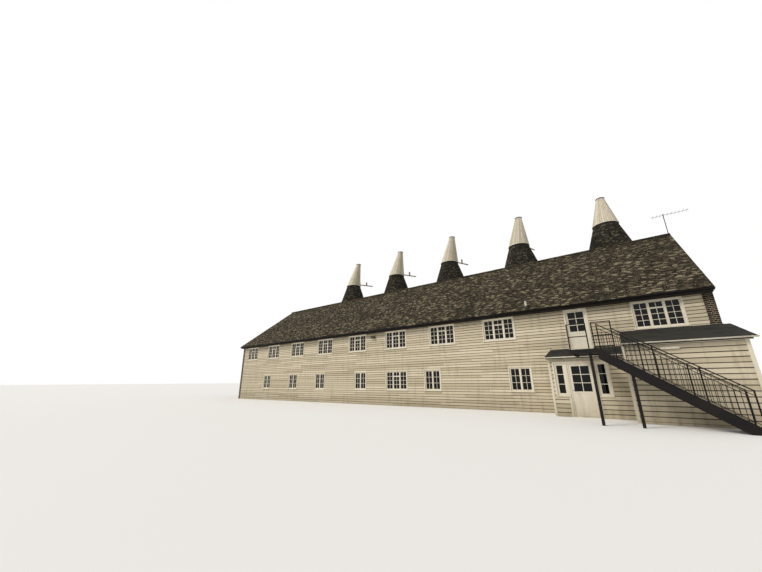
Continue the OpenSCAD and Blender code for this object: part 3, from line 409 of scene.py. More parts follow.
size = addNode(layTiles, "GeometryNodeInputNamedAttribute", {"Name": "size"}, data_type="FLOAT_VECTOR")
most = addNode(layTiles, "ShaderNodeCombineXYZ", {0: given["Tilt"], 1: given["Tilt"], 2: given["Tilt"]})
least = addNode(layTiles, "ShaderNodeVectorMath", {0: most.outputs[0], "Scale": -1.0}, operation="SCALE")
uneven = addNode(layTiles, "FunctionNodeRandomValue", {
    0: least.outputs[0], 1: most.outputs[0], "Seed": given["Seed"]}, data_type="FLOAT_VECTOR")
lean = addNode(layTiles, "ShaderNodeVectorMath", {0: turn.outputs[0], 1: uneven.outputs[0]}, operation="ADD")
facing = addNode(layTiles, "FunctionNodeEulerToRotation", {0: lean.outputs[0]})
laidTiles = addNode(layTiles, "GeometryNodeInstanceOnPoints", {
    "Points": given["Geometry"], "Instance": tile.outputs[0], "Rotation": facing.outputs[0],
    "Scale": size.outputs[0]})
endTree(layTiles, laidTiles.outputs[0], given["Finish"])

# Fixed boards: a plank feathered towards its top, with its own height stored for the painted shade under the
# lap
boardSizes = [
    ("Height", "Float", 0.146), ("Butt Thickness", "Float", 0.022), ("Top Thickness", "Float", 0.008),
    ("Tilt", "Float", 0.0018), ("Seed", "Int", 3), ("Finish", "Material", None)]
fixBoards, given = startTree("fixBoards", boardSizes)
plank = addNode(fixBoards, "GeometryNodeMeshCube", {"Size": (1, 1, 1)})
corner = addNode(fixBoards, "ShaderNodeSeparateXYZ", {
    0: addNode(fixBoards, "GeometryNodeInputPosition").outputs[0]})
rise = addNode(fixBoards, "ShaderNodeMapRange", {
    "Value": corner.outputs[2], 1: -0.5, 2: 0.5, 4: given["Height"]})
thick = addNode(fixBoards, "ShaderNodeMapRange", {
    "Value": corner.outputs[2], 1: -0.5, 2: 0.5, 3: given["Butt Thickness"], 4: given["Top Thickness"]})
front = addNode(fixBoards, "ShaderNodeMapRange", {
    "Value": corner.outputs[1], 1: -0.5, 2: 0.5, 3: -1.0, 4: 0.0})
deep = addNode(fixBoards, "ShaderNodeMath", {0: front.outputs[0], 1: thick.outputs[0]}, operation="MULTIPLY")
shape = addNode(fixBoards, "ShaderNodeCombineXYZ", {
    0: corner.outputs[0], 1: deep.outputs[0], 2: rise.outputs[0]})
lapShare = addNode(fixBoards, "ShaderNodeMath", {0: corner.outputs[2], 1: 0.5}, operation="ADD")
marked = addNode(fixBoards, "GeometryNodeStoreNamedAttribute", {
    "Geometry": plank.outputs[0], "Name": "lap", "Value": lapShare.outputs[0]}, data_type="FLOAT",
    domain="POINT")
board = addNode(fixBoards, "GeometryNodeSetPosition", {
    "Geometry": marked.outputs[0], "Position": shape.outputs[0]})
turn = addNode(fixBoards, "GeometryNodeInputNamedAttribute", {"Name": "turn"}, data_type="FLOAT_VECTOR")
size = addNode(fixBoards, "GeometryNodeInputNamedAttribute", {"Name": "size"}, data_type="FLOAT_VECTOR")
most = addNode(fixBoards, "ShaderNodeCombineXYZ", {1: given["Tilt"]})
least = addNode(fixBoards, "ShaderNodeVectorMath", {0: most.outputs[0], "Scale": -1.0}, operation="SCALE")
uneven = addNode(fixBoards, "FunctionNodeRandomValue", {
    0: least.outputs[0], 1: most.outputs[0], "Seed": given["Seed"]}, data_type="FLOAT_VECTOR")
lean = addNode(fixBoards, "ShaderNodeVectorMath", {0: turn.outputs[0], 1: uneven.outputs[0]}, operation="ADD")
facing = addNode(fixBoards, "FunctionNodeEulerToRotation", {0: lean.outputs[0]})
fixedBoards = addNode(fixBoards, "GeometryNodeInstanceOnPoints", {
    "Points": given["Geometry"], "Instance": board.outputs[0], "Rotation": facing.outputs[0],
    "Scale": size.outputs[0]})
endTree(fixBoards, fixedBoards.outputs[0], given["Finish"])

# Fitted bars: a plain cube of one metre that each point stretches to its own bar
fitBars, given = startTree("fitBars", [("Side", "Vector", (1, 1, 1)), ("Finish", "Material", None)])
bar = addNode(fitBars, "GeometryNodeMeshCube", {"Size": given["Side"]})
turn = addNode(fitBars, "GeometryNodeInputNamedAttribute", {"Name": "turn"}, data_type="FLOAT_VECTOR")
size = addNode(fitBars, "GeometryNodeInputNamedAttribute", {"Name": "size"}, data_type="FLOAT_VECTOR")
facing = addNode(fitBars, "FunctionNodeEulerToRotation", {0: turn.outputs[0]})
fittedBars = addNode(fitBars, "GeometryNodeInstanceOnPoints", {
    "Points": given["Geometry"], "Instance": bar.outputs[0], "Rotation": facing.outputs[0],
    "Scale": size.outputs[0]})
endTree(fitBars, fittedBars.outputs[0], given["Finish"])

# Ridge tiles: an arc swept with a rectangle as wide as the tile is long
halfRound, given = startTree("halfRoundTiles", [
    ("Radius", "Float", 0.126), ("Length", "Float", 0.45), ("Thickness", "Float", 0.016),
    ("Spread", "Float", 2.3), ("Tilt", "Float", 0.01), ("Seed", "Int", 9), ("Finish", "Material", None)])
start = addNode(halfRound, "ShaderNodeMapRange", {
    "Value": given["Spread"], 1: 0.0, 2: math.pi, 3: math.pi / 2, 4: 0.0})
arc = addNode(halfRound, "GeometryNodeCurveArc", {
    "Resolution": 13, "Radius": given["Radius"], "Start Angle": start.outputs[0],
    "Sweep Angle": given["Spread"]})
section = addNode(halfRound, "GeometryNodeCurvePrimitiveQuadrilateral", {
    0: given["Thickness"], 1: given["Length"]})
swept = addNode(halfRound, "GeometryNodeCurveToMesh", {
    "Curve": arc.outputs[0], "Profile Curve": section.outputs[0], "Fill Caps": True})
standing = addNode(halfRound, "GeometryNodeTransform", {
    "Geometry": swept.outputs[0], "Rotation": (math.pi / 2, 0, math.pi / 2)})
most = addNode(halfRound, "ShaderNodeCombineXYZ", {1: given["Tilt"], 2: given["Tilt"]})
least = addNode(halfRound, "ShaderNodeVectorMath", {0: most.outputs[0], "Scale": -1.0}, operation="SCALE")
uneven = addNode(halfRound, "FunctionNodeRandomValue", {
    0: least.outputs[0], 1: most.outputs[0], "Seed": given["Seed"]}, data_type="FLOAT_VECTOR")
facing = addNode(halfRound, "FunctionNodeEulerToRotation", {0: uneven.outputs[0]})
crested = addNode(halfRound, "GeometryNodeInstanceOnPoints", {
    "Points": given["Geometry"], "Instance": standing.outputs[0], "Rotation": facing.outputs[0]})
endTree(halfRound, crested.outputs[0], given["Finish"])

# Bolts: six-sided heads
fitBolts, given = startTree("fitBolts", [
    ("Radius", "Float", 0.011), ("Height", "Float", 0.009), ("Finish", "Material", None)])
bolt = addNode(fitBolts, "GeometryNodeMeshCylinder", {
    "Vertices": 6, "Radius": given["Radius"], "Depth": given["Height"]})
turn = addNode(fitBolts, "GeometryNodeInputNamedAttribute", {"Name": "turn"}, data_type="FLOAT_VECTOR")
facing = addNode(fitBolts, "FunctionNodeEulerToRotation", {0: turn.outputs[0]})
fitted = addNode(fitBolts, "GeometryNodeInstanceOnPoints", {
    "Points": given["Geometry"], "Instance": bolt.outputs[0], "Rotation": facing.outputs[0]})
endTree(fitBolts, fitted.outputs[0], given["Finish"])

# A cowl's boards stand in a flat row, angle against height, and the row is then rolled into the leaning cone
rollCowl, given = startTree("rollCowl", [
    ("Foot Radius", "Float", 0.954), ("Top Radius", "Float", 0.294), ("Lean", "Float", 0.65),
    ("Height", "Float", 3.28), ("Board Angle", "Float", 0.18), ("Board Thickness", "Float", 0.022),
    ("Heading", "Float", 0.3), ("Axis", "Vector", (0, 0, 0)), ("Finish", "Material", None)])
stave = addNode(rollCowl, "GeometryNodeMeshCube", {"Size": (1, 1, 1), "Vertices X": 4})
here = addNode(rollCowl, "GeometryNodeInputPosition").outputs[0]
corner = addNode(rollCowl, "ShaderNodeSeparateXYZ", {0: here})
off = addNode(rollCowl, "ShaderNodeMath", {0: corner.outputs[0]}, operation="ABSOLUTE")
edge = addNode(rollCowl, "ShaderNodeMath", {0: off.outputs[0], 1: 0.3}, operation="GREATER_THAN")
outer = addNode(rollCowl, "ShaderNodeMath", {0: corner.outputs[1], 1: 0.0}, operation="GREATER_THAN")
sunk = addNode(rollCowl, "ShaderNodeMath", {0: edge.outputs[0], 1: outer.outputs[0]}, operation="MULTIPLY")
depth = addNode(rollCowl, "ShaderNodeMath", {
    0: sunk.outputs[0], 1: -0.4, 2: corner.outputs[1]}, operation="MULTIPLY_ADD")
inner = addNode(rollCowl, "ShaderNodeMath", {0: 1.0, 1: edge.outputs[0]}, operation="SUBTRACT")
sign = addNode(rollCowl, "ShaderNodeMath", {0: corner.outputs[0]}, operation="SIGN")
wide = addNode(rollCowl, "ShaderNodeMath", {0: edge.outputs[0], 1: 0.5}, operation="MULTIPLY")
near = addNode(rollCowl, "ShaderNodeMath", {
    0: inner.outputs[0], 1: 0.41, 2: wide.outputs[0]}, operation="MULTIPLY_ADD")
# Painted shade: the sunk outer edges of each board are marked so the paint darkens the seams nearly to black
seam = addNode(rollCowl, "ShaderNodeMath", {0: sunk.outputs[0], 1: 1.5}, operation="MULTIPLY")
seamShadeMarked = addNode(rollCowl, "GeometryNodeStoreNamedAttribute", {
    "Geometry": stave.outputs[0], "Name": "lap", "Value": seam.outputs[0]}, data_type="FLOAT",
    domain="POINT")
across = addNode(rollCowl, "ShaderNodeMath", {0: near.outputs[0], 1: sign.outputs[0]}, operation="MULTIPLY")
arcWide = addNode(rollCowl, "ShaderNodeMath", {
    0: across.outputs[0], 1: given["Board Angle"]}, operation="MULTIPLY")
arcDeep = addNode(rollCowl, "ShaderNodeMath", {
    0: depth.outputs[0], 1: given["Board Thickness"]}, operation="MULTIPLY")
upward = addNode(rollCowl, "ShaderNodeMath", {0: corner.outputs[2], 1: 0.5}, operation="ADD")
flatStave = addNode(rollCowl, "ShaderNodeCombineXYZ", {
    0: arcWide.outputs[0], 1: arcDeep.outputs[0], 2: upward.outputs[0]})
cutStave = addNode(rollCowl, "GeometryNodeSetPosition", {
    "Geometry": seamShadeMarked.outputs[0], "Position": flatStave.outputs[0]})
size = addNode(rollCowl, "GeometryNodeInputNamedAttribute", {"Name": "size"}, data_type="FLOAT_VECTOR")
row = addNode(rollCowl, "GeometryNodeInstanceOnPoints", {
    "Points": given["Geometry"], "Instance": cutStave.outputs[0], "Scale": size.outputs[0]})
flatRow = addNode(rollCowl, "GeometryNodeRealizeInstances", {"Geometry": row.outputs[0]})
spot = addNode(rollCowl, "ShaderNodeSeparateXYZ", {0: here})
radius = addNode(rollCowl, "ShaderNodeMapRange", {
    "Value": spot.outputs[2], 3: given["Foot Radius"], 4: given["Top Radius"]})
reach = addNode(rollCowl, "ShaderNodeMath", {0: radius.outputs[0], 1: spot.outputs[1]}, operation="ADD")
sine = addNode(rollCowl, "ShaderNodeMath", {0: spot.outputs[0]}, operation="SINE")
cosine = addNode(rollCowl, "ShaderNodeMath", {0: spot.outputs[0]}, operation="COSINE")
leaning = addNode(rollCowl, "ShaderNodeMath", {0: spot.outputs[2], 1: given["Lean"]}, operation="MULTIPLY")
rolledX = addNode(rollCowl, "ShaderNodeMath", {0: sine.outputs[0], 1: reach.outputs[0]}, operation="MULTIPLY")
rolledY = addNode(rollCowl, "ShaderNodeMath", {
    0: cosine.outputs[0], 1: reach.outputs[0], 2: leaning.outputs[0]}, operation="MULTIPLY_ADD")
rolledZ = addNode(rollCowl, "ShaderNodeMath", {0: spot.outputs[2], 1: given["Height"]}, operation="MULTIPLY")
rolled = addNode(rollCowl, "ShaderNodeCombineXYZ", {
    0: rolledX.outputs[0], 1: rolledY.outputs[0], 2: rolledZ.outputs[0]})
cone = addNode(rollCowl, "GeometryNodeSetPosition", {
    "Geometry": flatRow.outputs[0], "Position": rolled.outputs[0]})
turned = addNode(rollCowl, "ShaderNodeCombineXYZ", {2: given["Heading"]})
spin = addNode(rollCowl, "FunctionNodeEulerToRotation", {0: turned.outputs[0]})
placed = addNode(rollCowl, "GeometryNodeTransform", {
    "Geometry": cone.outputs[0], "Translation": given["Axis"], "Rotation": spin.outputs[0]})
endTree(rollCowl, placed.outputs[0], given["Finish"])
print("trees:", len(bpy.data.node_groups))

# Tiles of the main roof: courses run along X, one above the other up each slope
roofTiles = {
    "gauge": 0.1, "tileWidth": 0.165, "overhang": 0.035, "ridgeGap": 0.07, "kilnGap": 0.03, "uneven": 0.014,
    "seed": 12}


def unevenness(x, y):  # how far an old roof's battens stand above a true plane
    swell = math.sin(0.83 * x + 1.9 * y) * math.sin(0.31 * x - 1.1 * y + 0.7)
    return roofTiles["uneven"] * (0.5 + 0.5 * swell)


def roofTilePoints(side):  # side -1 is the front slope, 1 the rear
    across = round(2 * house["roofHalf"] / roofTiles["tileWidth"])
    step = 2 * house["roofHalf"] / across
    start = house["eavesY"] + roofTiles["overhang"]
    courses = int((start - roofTiles["ridgeGap"]) / math.cos(pitch) / roofTiles["gauge"])
    clear = house["kilnR"] + roofTiles["kilnGap"]
    points, sizes, tones = [], [], []
    for course in range(courses):
        y = start - course * roofTiles["gauge"] * math.cos(pitch)
        z = house["ridge"] - y * house["slope"]
        xs = -house["roofHalf"] + (np.arange(across) + 0.5) * step
        wide = np.ones(across)
        if course % 2:  # half tiles at both verges bond the courses
            xs = np.concatenate([[-house["roofHalf"] + step / 4], xs[:-1] + step / 2,
                                 [house["roofHalf"] - step / 4]])
            wide = np.concatenate([[0.5], np.ones(across - 1), [0.5]])
        for x, w in zip(xs, wide):
            if side > 0 and any(math.hypot(x - k, y - kilnY) < clear for k in kilnX):
                continue
            points.append((x, side * y, z + unevenness(x, side * y)))
            sizes.append((w * step / roofTiles["tileWidth"] * 0.985, 1, 1))
            tones.append(random.random())
    turn = (pitch, 0, 0 if side < 0 else math.pi)
    return points, [turn] * len(points), sizes, tones


for side, label in ((-1, "frontRoofTiles"), (1, "rearRoofTiles")):
    points, turns, sizes, tones = roofTilePoints(side)
    growPiece(pointHolder(label, points, turn=turns, size=sizes, tone=tones), layTiles,
              {"Tile Width": roofTiles["tileWidth"], "Seed": roofTiles["seed"], "Finish": rangeTile},
              "house")

# Tiles of the five cones: fewer to a course as the cone narrows
coneTiles = {"footR": 2.99, "footZ": 7.385, "topR": 0.93, "topZ": 13.70, "gauge": 0.1, "tileWidth": 0.165}
coneSlant = math.hypot(coneTiles["footR"] - coneTiles["topR"], coneTiles["topZ"] - coneTiles["footZ"])
conePitch = math.atan2(coneTiles["topZ"] - coneTiles["footZ"], coneTiles["footR"] - coneTiles["topR"])
for number, centre in enumerate(kilnX, 1):
    points, turns, sizes, tones = [], [], [], []
    for course in range(int(coneSlant / coneTiles["gauge"])):
        share = course * coneTiles["gauge"] / coneSlant
        radius = coneTiles["footR"] + (coneTiles["topR"] - coneTiles["footR"]) * share
        z = coneTiles["footZ"] + (coneTiles["topZ"] - coneTiles["footZ"]) * share
        count = round(2 * math.pi * radius / coneTiles["tileWidth"])
        for i in range(count):
            angle = 2 * math.pi * (i + 0.5 * (course % 2)) / count
            points.append((centre + radius * math.sin(angle), kilnY - radius * math.cos(angle), z))
            turns.append((conePitch, 0, angle))
            sizes.append((2 * math.pi * radius / count / coneTiles["tileWidth"] * 0.99, 1, 1))
            tones.append(random.random())
    growPiece(pointHolder(f"kilnTiles_{number}", points, turn=turns, size=sizes, tone=tones), layTiles,
              {"Tile Width": coneTiles["tileWidth"], "Seed": number, "Finish": kilnTile},
              "house")

# Half-round ridge tiles over the solid ridge roll
ridge = {"count": 76, "radius": 0.13, "drop": 0.063}
ridgeStep = 2 * house["roofHalf"] / ridge["count"]
ridgePoints = [(-house["roofHalf"] + (i + 0.5) * ridgeStep, 0, house["ridge"] - ridge["drop"])
               for i in range(ridge["count"])]
growPiece(pointHolder("ridgeRoll", ridgePoints, tone=random.random(ridge["count"])), halfRound,
          {"Radius": ridge["radius"], "Length": ridgeStep - 0.012, "Spread": 2.7, "Finish": ridgeClay},
          "house")

# The two lean-tos: walls, height where the end walls' boards meet the range, the roof's fall per metre
porch = {"left": 11.02, "right": 13.78, "front": -7.0, "top": 2.80, "fall": 0.2516, "verge": 10.92,
         "eaves": -7.15}
store = {"left": 13.78, "right": 17.0, "front": -8.1, "top": 3.42, "fall": 0.2717, "verge": 17.1,
         "eaves": -8.25}

# Weatherboards: lengths between joints, and how much of a board shows on each wall
boarding = {"jointLeast": 2.4, "jointMost": 4.4, "gap": 0.003, "seed": 3, "range": 0.146, "lean": 0.172,
            "porch": 0.171, "store": 0.173}
boardPoints = {"range": [], "lean": []}


def boardWall(kind, place, angle, u0, u1, z0, z1, first, exposure, holes, rake=None):
    # place is the wall's own origin, angle its turn from facing the front; holes are (u0, u1, z0, z1);
    # rake is the height of a sloping top at u = 0 and its rise per metre of u
    course = math.floor((z0 - first) / exposure)
    turn = Matrix.Rotation(angle, 4, "Z")
    while first + course * exposure < z1:
        low = max(z0, first + course * exposure)
        high = min(z1, first + (course + 1) * exposure)
        course += 1
        if high - low < 0.02:
            continue
        near = [h for h in holes if h[2] < high - 0.004 and h[3] > low + 0.004]
        cuts = sorted({u0, u1, *[min(max(c, u0), u1) for h in near for c in h[:2]]})
        runs = []
        for a, b in zip(cuts, cuts[1:]):
            if b - a < 0.01:
                continue
            middle, foot, head = (a + b) / 2, low, high
            for h in near:
                if h[0] < middle < h[1]:
                    if h[2] <= foot and h[3] >= head:
                        foot = head
                    elif h[2] <= foot:
                        foot = max(foot, h[3])
                    else:
                        head = min(head, h[2])
            if rake and rake[1] > 0:
                a = max(a, (head - rake[0]) / rake[1])
            elif rake:
                b = min(b, (head - rake[0]) / rake[1])
            if head - foot < 0.015 or b - a < 0.05:
                continue
            if runs and abs(runs[-1][1] - a) < 1e-6 and runs[-1][2:] == [foot, head]:
                runs[-1][1] = b
            else:
                runs.append([a, b, foot, head])
        for a, b, foot, head in runs:
            at = a
            while at < b:
                end = at + random.uniform(boarding["jointLeast"], boarding["jointMost"])
                end = b if b - end < 0.7 else end
                spot = place + turn @ Vector(((at + end) / 2, 0, foot))
                size = (end - at - boarding["gap"], 1, (head - foot + 0.004) / exposure)
                boardPoints[kind].append((spot, (0, 0, angle), size, random.random()))
                at = end


windows = {  # centre x, width, sill and head of each
    "upper": [(x, 1.65, 3.56, 4.72) for x in (8.56, 5.16, 1.76, -1.64, -5.04, -8.44, -11.84, -15.24, 15.22)],
    "lowerWide": [(1.76, 1.65, 0.95, 2.12)],
    "lower": [(x, 1.06, 0.95, 2.12) for x in (9.3998, 4.3916, -1.3204, -5.499, -8.8004, -12.4996)]}
trim = {"side": 0.035, "head": 0.035, "sill": 0.045, "proud": 0.03, "sillProud": 0.055}
rangeHoles = [(x - w / 2 - trim["side"], x + w / 2 + trim["side"], s - trim["sill"], h + trim["head"])
              for group in windows.values() for x, w, s, h in group]
rangeHoles += [(11.75, 12.72, 2.80, 4.76), (porch["left"], porch["right"], -1, 2.9),
               (store["left"], store["verge"], -1, 3.56)]  # upper door, and what the lean-tos cover
wallFront = Vector((0, house["frontY"], 0))
boardWall("range", wallFront, 0, -16.67, 16.67, 0.035, 4.76, 0.035, boarding["range"], rangeHoles)
porchHoles = [
    (11.704 - 0.02, 12.651 + 0.02, -1, 2.24), (11.204 - 0.045, 11.704, 0.80, 2.24),
    (12.651, 13.151 + 0.045, 0.80, 2.24)]
boardWall("lean", Vector((0, porch["front"], 0)), 0, 11.06, porch["right"], 0.01, 2.44, 0.01,
          boarding["porch"], porchHoles)
boardWall("lean", Vector((0, store["front"], 0)), 0, 13.84, 16.94, 0.01, 2.74, -0.087,
          boarding["store"], [])
porchRake = porch["top"] - house["frontY"] * porch["fall"]
storeRake = store["top"] - house["frontY"] * store["fall"]
boardWall("lean", Vector((porch["left"], 0, 0)), -math.pi / 2, 5.64, 6.96, 0.01, 2.9, 0.01,
          boarding["porch"], [], (porchRake, -porch["fall"]))
boardWall("lean", Vector((store["left"], 0, 0)), -math.pi / 2, 5.64, 8.06, 0.01, 3.4, -0.087,
          boarding["store"], [], (storeRake, -store["fall"]))
boardWall("lean", Vector((store["right"], 0, 0)), math.pi / 2, -8.06, -5.64, 0.01, 3.4, -0.087,
          boarding["store"], [], (storeRake, store["fall"]))
for kind, label in (("range", "rangeWeatherboards"), ("lean", "leanToWeatherboards")):
    rows = boardPoints[kind]
    holder = pointHolder(label, [r[0] for r in rows], turn=[r[1] for r in rows], size=[r[2] for r in rows],
                         tone=[r[3] for r in rows])
    growPiece(holder, fixBoards, {"Height": boarding[kind], "Seed": boarding["seed"], "Finish": creamBoards},
              "house")

# Bars: sashes, glazing bars, trims, rails and every other straight piece
barRows = {}


def addBar(group, origin, angle, u0, u1, z0, z1, w0, w1, lift=0.0):
    # w is the height above the wall's face; lift is how much higher the bar is at u1 than at u0
    middle = Vector(((u0 + u1) / 2, -(w0 + w1) / 2, (z0 + z1 + lift) / 2))
    spot = Vector(origin) + Matrix.Rotation(angle, 4, "Z") @ middle
    slant = math.atan2(lift, u1 - u0)
    size = (math.hypot(u1 - u0, lift), w1 - w0, (z1 - z0) * math.cos(slant))
    barRows.setdefault(group, []).append((spot, (0, -slant, angle), size, random.random()))


sash = {"frame": 0.06, "stile": 0.02, "bar": 0.02, "deep": 0.05}


def glazeWindow(group, origin, angle, width, sill, head, lights, rows, faceW, fanlight=False):
    lightW = (width - (lights + 1) * sash["frame"]) / lights
    low, high = sill + sash["frame"], head - sash["frame"]
    front, back = faceW - 0.008, faceW - 0.008 - sash["deep"]
    for i in range(lights):
        left = -width / 2 + sash["frame"] + i * (lightW + sash["frame"])
        right = left + lightW
        s = sash["stile"]
        addBar(group, origin, angle, left, left + s, low, high, back, front)
        addBar(group, origin, angle, right - s, right, low, high, back, front)
        addBar(group, origin, angle, left + s, right - s, low, low + s * 1.25, back, front)
        addBar(group, origin, angle, left + s, right - s, high - s, high, back, front)
        inLow, inHigh = low + s * 1.25, high - s
        stops = [inLow + (inHigh - inLow) * k / rows for k in range(1, rows)]
        for k, z in enumerate(stops):
            heavy = fanlight and i == 1 and k == rows - 2
            half = 0.034 if heavy else sash["bar"] / 2
            addBar(group, origin, angle, left + s, right - s, z - half, z + half, back + 0.008,
                   front - (0 if heavy else 0.008))
        middle = (left + right) / 2
        addBar(group, origin, angle, middle - sash["bar"] / 2, middle + sash["bar"] / 2, inLow, inHigh,
               back + 0.01, front - 0.01)


def trimWindow(origin, angle, width, sill, head):  # architrave, drip head and projecting sill
    a, b, over = -width / 2, width / 2, 0.001  # a millimetre over the wall's own reveal
    addBar("trims", origin, angle, a - trim["side"], a + over, sill, head, -0.03, trim["proud"])
    addBar("trims", origin, angle, b - over, b + trim["side"], sill, head, -0.03, trim["proud"])
    addBar("trims", origin, angle, a - trim["side"], b + trim["side"], head - over, head + trim["head"],
           -0.03, trim["proud"])
    addBar("trims", origin, angle, a - trim["side"] - 0.03, b + trim["side"] + 0.03,
           sill - trim["sill"], sill + over, -0.03, trim["sillProud"])


for key, lights, rows, fan in (("upper", 3, 4, True), ("lowerWide", 3, 4, True), ("lower", 2, 3, False)):
    for x, w, s, h in windows[key]:
        spot = (x, house["frontY"], 0)
        glazeWindow("sashes", spot, 0, w, s, h, lights, rows, -0.02, fan)
        trimWindow(spot, 0, w, s, h)
rearX = [(kilnX[i] + kilnX[i + 1]) / 2 for i in range(4)]
for sill, head in ((0.95, 2.12), (3.56, 4.72)):
    openings = [((x, house["rearY"], 0), math.pi, 1.06, -0.02) for x in rearX]
    openings += [((x, kilnY + house["kilnR"], 0), math.pi, 0.9, -0.08) for x in kilnX]
    openings += [((side * house["gableX"], y, 0), side * math.pi / 2, 1.06, -0.06)
                 for side in (-1, 1) for y in (-2.6, 2.6)]
    for spot, angle, w, face in openings:
        glazeWindow("sashes", spot, angle, w, sill, head, 2, 3, face)
        bow = 0.045 if spot[1] > 8 else 0.0  # the round wall falls back towards a sill's ends
        addBar("sills", spot, angle, -w / 2 - 0.09, w / 2 + 0.09, sill - 0.075, sill + 0.002,
               -0.12 - bow, 0.045)
        addBar("lintels", spot, angle, -w / 2 - 0.11, w / 2 + 0.11, head - 0.002, head + 0.15,
               -0.1 - bow, 0.006)

# Upper door: rails and six panes over a flat panel, with its frame's trims
door = {"x": 12.235, "foot": 2.88, "glassLow": 3.67, "glassHigh": 4.5875, "glassHalf": 0.3225,
        "leafHalf": 0.365, "panelHalf": 0.275, "frameHalf": 0.424, "trimHalf": 0.485, "trimFoot": 2.84,
        "frameTop": 4.69, "trimTop": 4.76}
spot = (door["x"], house["frontY"], 0)
half, low, high = door["glassHalf"], door["glassLow"], door["glassHigh"]
for k in (1, 2):
    z = low + (high - low) * k / 3
    addBar("sashes", spot, 0, -half, half, z - 0.013, z + 0.013, -0.075, -0.044)
addBar("sashes", spot, 0, -0.014, 0.014, low, high, -0.075, -0.046)
inner, outer, foot = door["panelHalf"], door["leafHalf"], door["foot"]
for u0, u1, z0, z1 in ((-outer, -inner, foot, low), (inner, outer, foot, low),
                       (-inner, inner, foot, foot + 0.15), (-inner, inner, low - 0.1, low)):
    addBar("sashes", spot, 0, u0, u1, z0, z1, -0.045, -0.03)
inner, outer, foot, top = door["frameHalf"], door["trimHalf"], door["trimFoot"], door["frameTop"]
for u0, u1, z0, z1 in ((-outer, -inner, foot, top), (inner, outer, foot, top),
                       (-outer, outer, top - 0.001, door["trimTop"])):
    addBar("trims", spot, 0, u0, u1, z0, z1, -0.03, trim["proud"])
addBar("trims", spot, 0, -outer, outer, 2.80, door["foot"], -0.03, 0.06)

# Porch: entrance door's frame trims, sidelights of three panes, corner boards, fascia
spot = (0, porch["front"], 0)
for centre in (11.414, 12.941):
    low, high, half = 0.90, 2.116, 0.15
    for u0, u1 in ((centre - half, centre - half + 0.03), (centre + half - 0.03, centre + half)):
        addBar("sashes", spot, 0, u0, u1, low, high, -0.075, -0.02)
    for z0, z1 in ((low, low + 0.035), (high - 0.03, high)):
        addBar("sashes", spot, 0, centre - half + 0.03, centre + half - 0.03, z0, z1, -0.075, -0.02)
    for k in (1, 2):
        z = low + (high - low) * k / 3
        addBar("sashes", spot, 0, centre - half + 0.03, centre + half - 0.03, z - 0.012, z + 0.012,
               -0.072, -0.03)
    addBar("trims", spot, 0, centre - 0.25, centre + 0.25, 0.795, 0.841, -0.02, 0.05)
    outer = -1 if centre < 12 else 1
    a, b = sorted((centre + outer * 0.209, centre + outer * 0.265))
    addBar("trims", spot, 0, a, b, 0.84, 2.24, -0.02, 0.028)
addBar("trims", spot, 0, 11.149, 13.206, 2.175, 2.24, -0.02, 0.03)
for u0, u1 in ((11.624, 11.705), (12.65, 12.731)):
    addBar("trims", spot, 0, u0, u1, 0.0, 2.176, -0.02, 0.024)
addBar("trims", spot, 0, 11.0, 11.075, 0.0, 2.40, -0.02, 0.03)
addBar("trims", (porch["left"], 0, 0), -math.pi / 2, 6.925, 7.026, 0.0, 2.40, -0.02, 0.03)
addBar("trims", (0, porch["eaves"], 0), 0, porch["verge"], porch["right"], 2.352, 2.452, -0.025, -0.001)

# Store: corner boards, fascia behind its gutter
for u0, u1 in ((13.755, 13.85), (16.93, 17.026)):
    addBar("trims", (0, store["front"], 0), 0, u0, u1, 0.0, 2.74, -0.02, 0.032)
addBar("trims", (store["left"], 0, 0), -math.pi / 2, 8.02, 8.13, 0.0, 2.74, -0.02, 0.03)
addBar("trims", (store["right"], 0, 0), math.pi / 2, -8.13, -8.02, 0.0, 2.74, -0.02, 0.03)
addBar("trims", (0, store["eaves"], 0), 0, store["left"], store["verge"], 2.655, 2.765, -0.025, -0.001)

# Sloping boards under the lean-to roofs at their ends
for origin, angle, near, far, top, fall in (
        ((porch["left"], 0, 0), -math.pi / 2, 5.62, 7.02, 2.795, porch["fall"]),
        ((store["left"], 0, 0), -math.pi / 2, 7.16, 8.12, 2.99, store["fall"]),
        ((store["right"], 0, 0), math.pi / 2, 5.62, 8.12, 3.415, store["fall"])):
    drop = (far - near) * fall
    if angle < 0:
        addBar("trims", origin, angle, near, far, top - 0.19, top, -0.02, 0.028, -drop)
    else:
        addBar("trims", origin, angle, -far, -near, top - drop - 0.19, top - drop, -0.02, 0.028, drop)

# Entrance door: three rows of panes over five upright boards between rails
leaf = {"left": 11.77, "right": 12.585, "foot": 0.05, "top": 2.11, "glassL": 11.855, "glassR": 12.50,
        "glassLow": 1.015, "glassTop": 2.04}
spot = (0, -6.98, 0)
for k in (1, 2):
    z = leaf["glassLow"] + (leaf["glassTop"] - leaf["glassLow"]) * k / 3
    addBar("leaf", spot, 0, leaf["glassL"], leaf["glassR"], z - 0.013, z + 0.013, -0.04, -0.004)
middle = (leaf["glassL"] + leaf["glassR"]) / 2
addBar("leaf", spot, 0, middle - 0.013, middle + 0.013, leaf["glassLow"], leaf["glassTop"], -0.042, -0.006)
addBar("leaf", spot, 0, leaf["left"], leaf["glassL"], leaf["foot"], leaf["top"], -0.004, 0.01)
addBar("leaf", spot, 0, leaf["glassR"], leaf["right"], leaf["foot"], leaf["top"], -0.004, 0.01)
addBar("leaf", spot, 0, leaf["glassL"], leaf["glassR"], leaf["glassTop"], leaf["top"], -0.004, 0.01)
addBar("leaf", spot, 0, leaf["glassL"], leaf["glassR"], leaf["glassLow"] - 0.11, leaf["glassLow"],
       -0.004, 0.01)
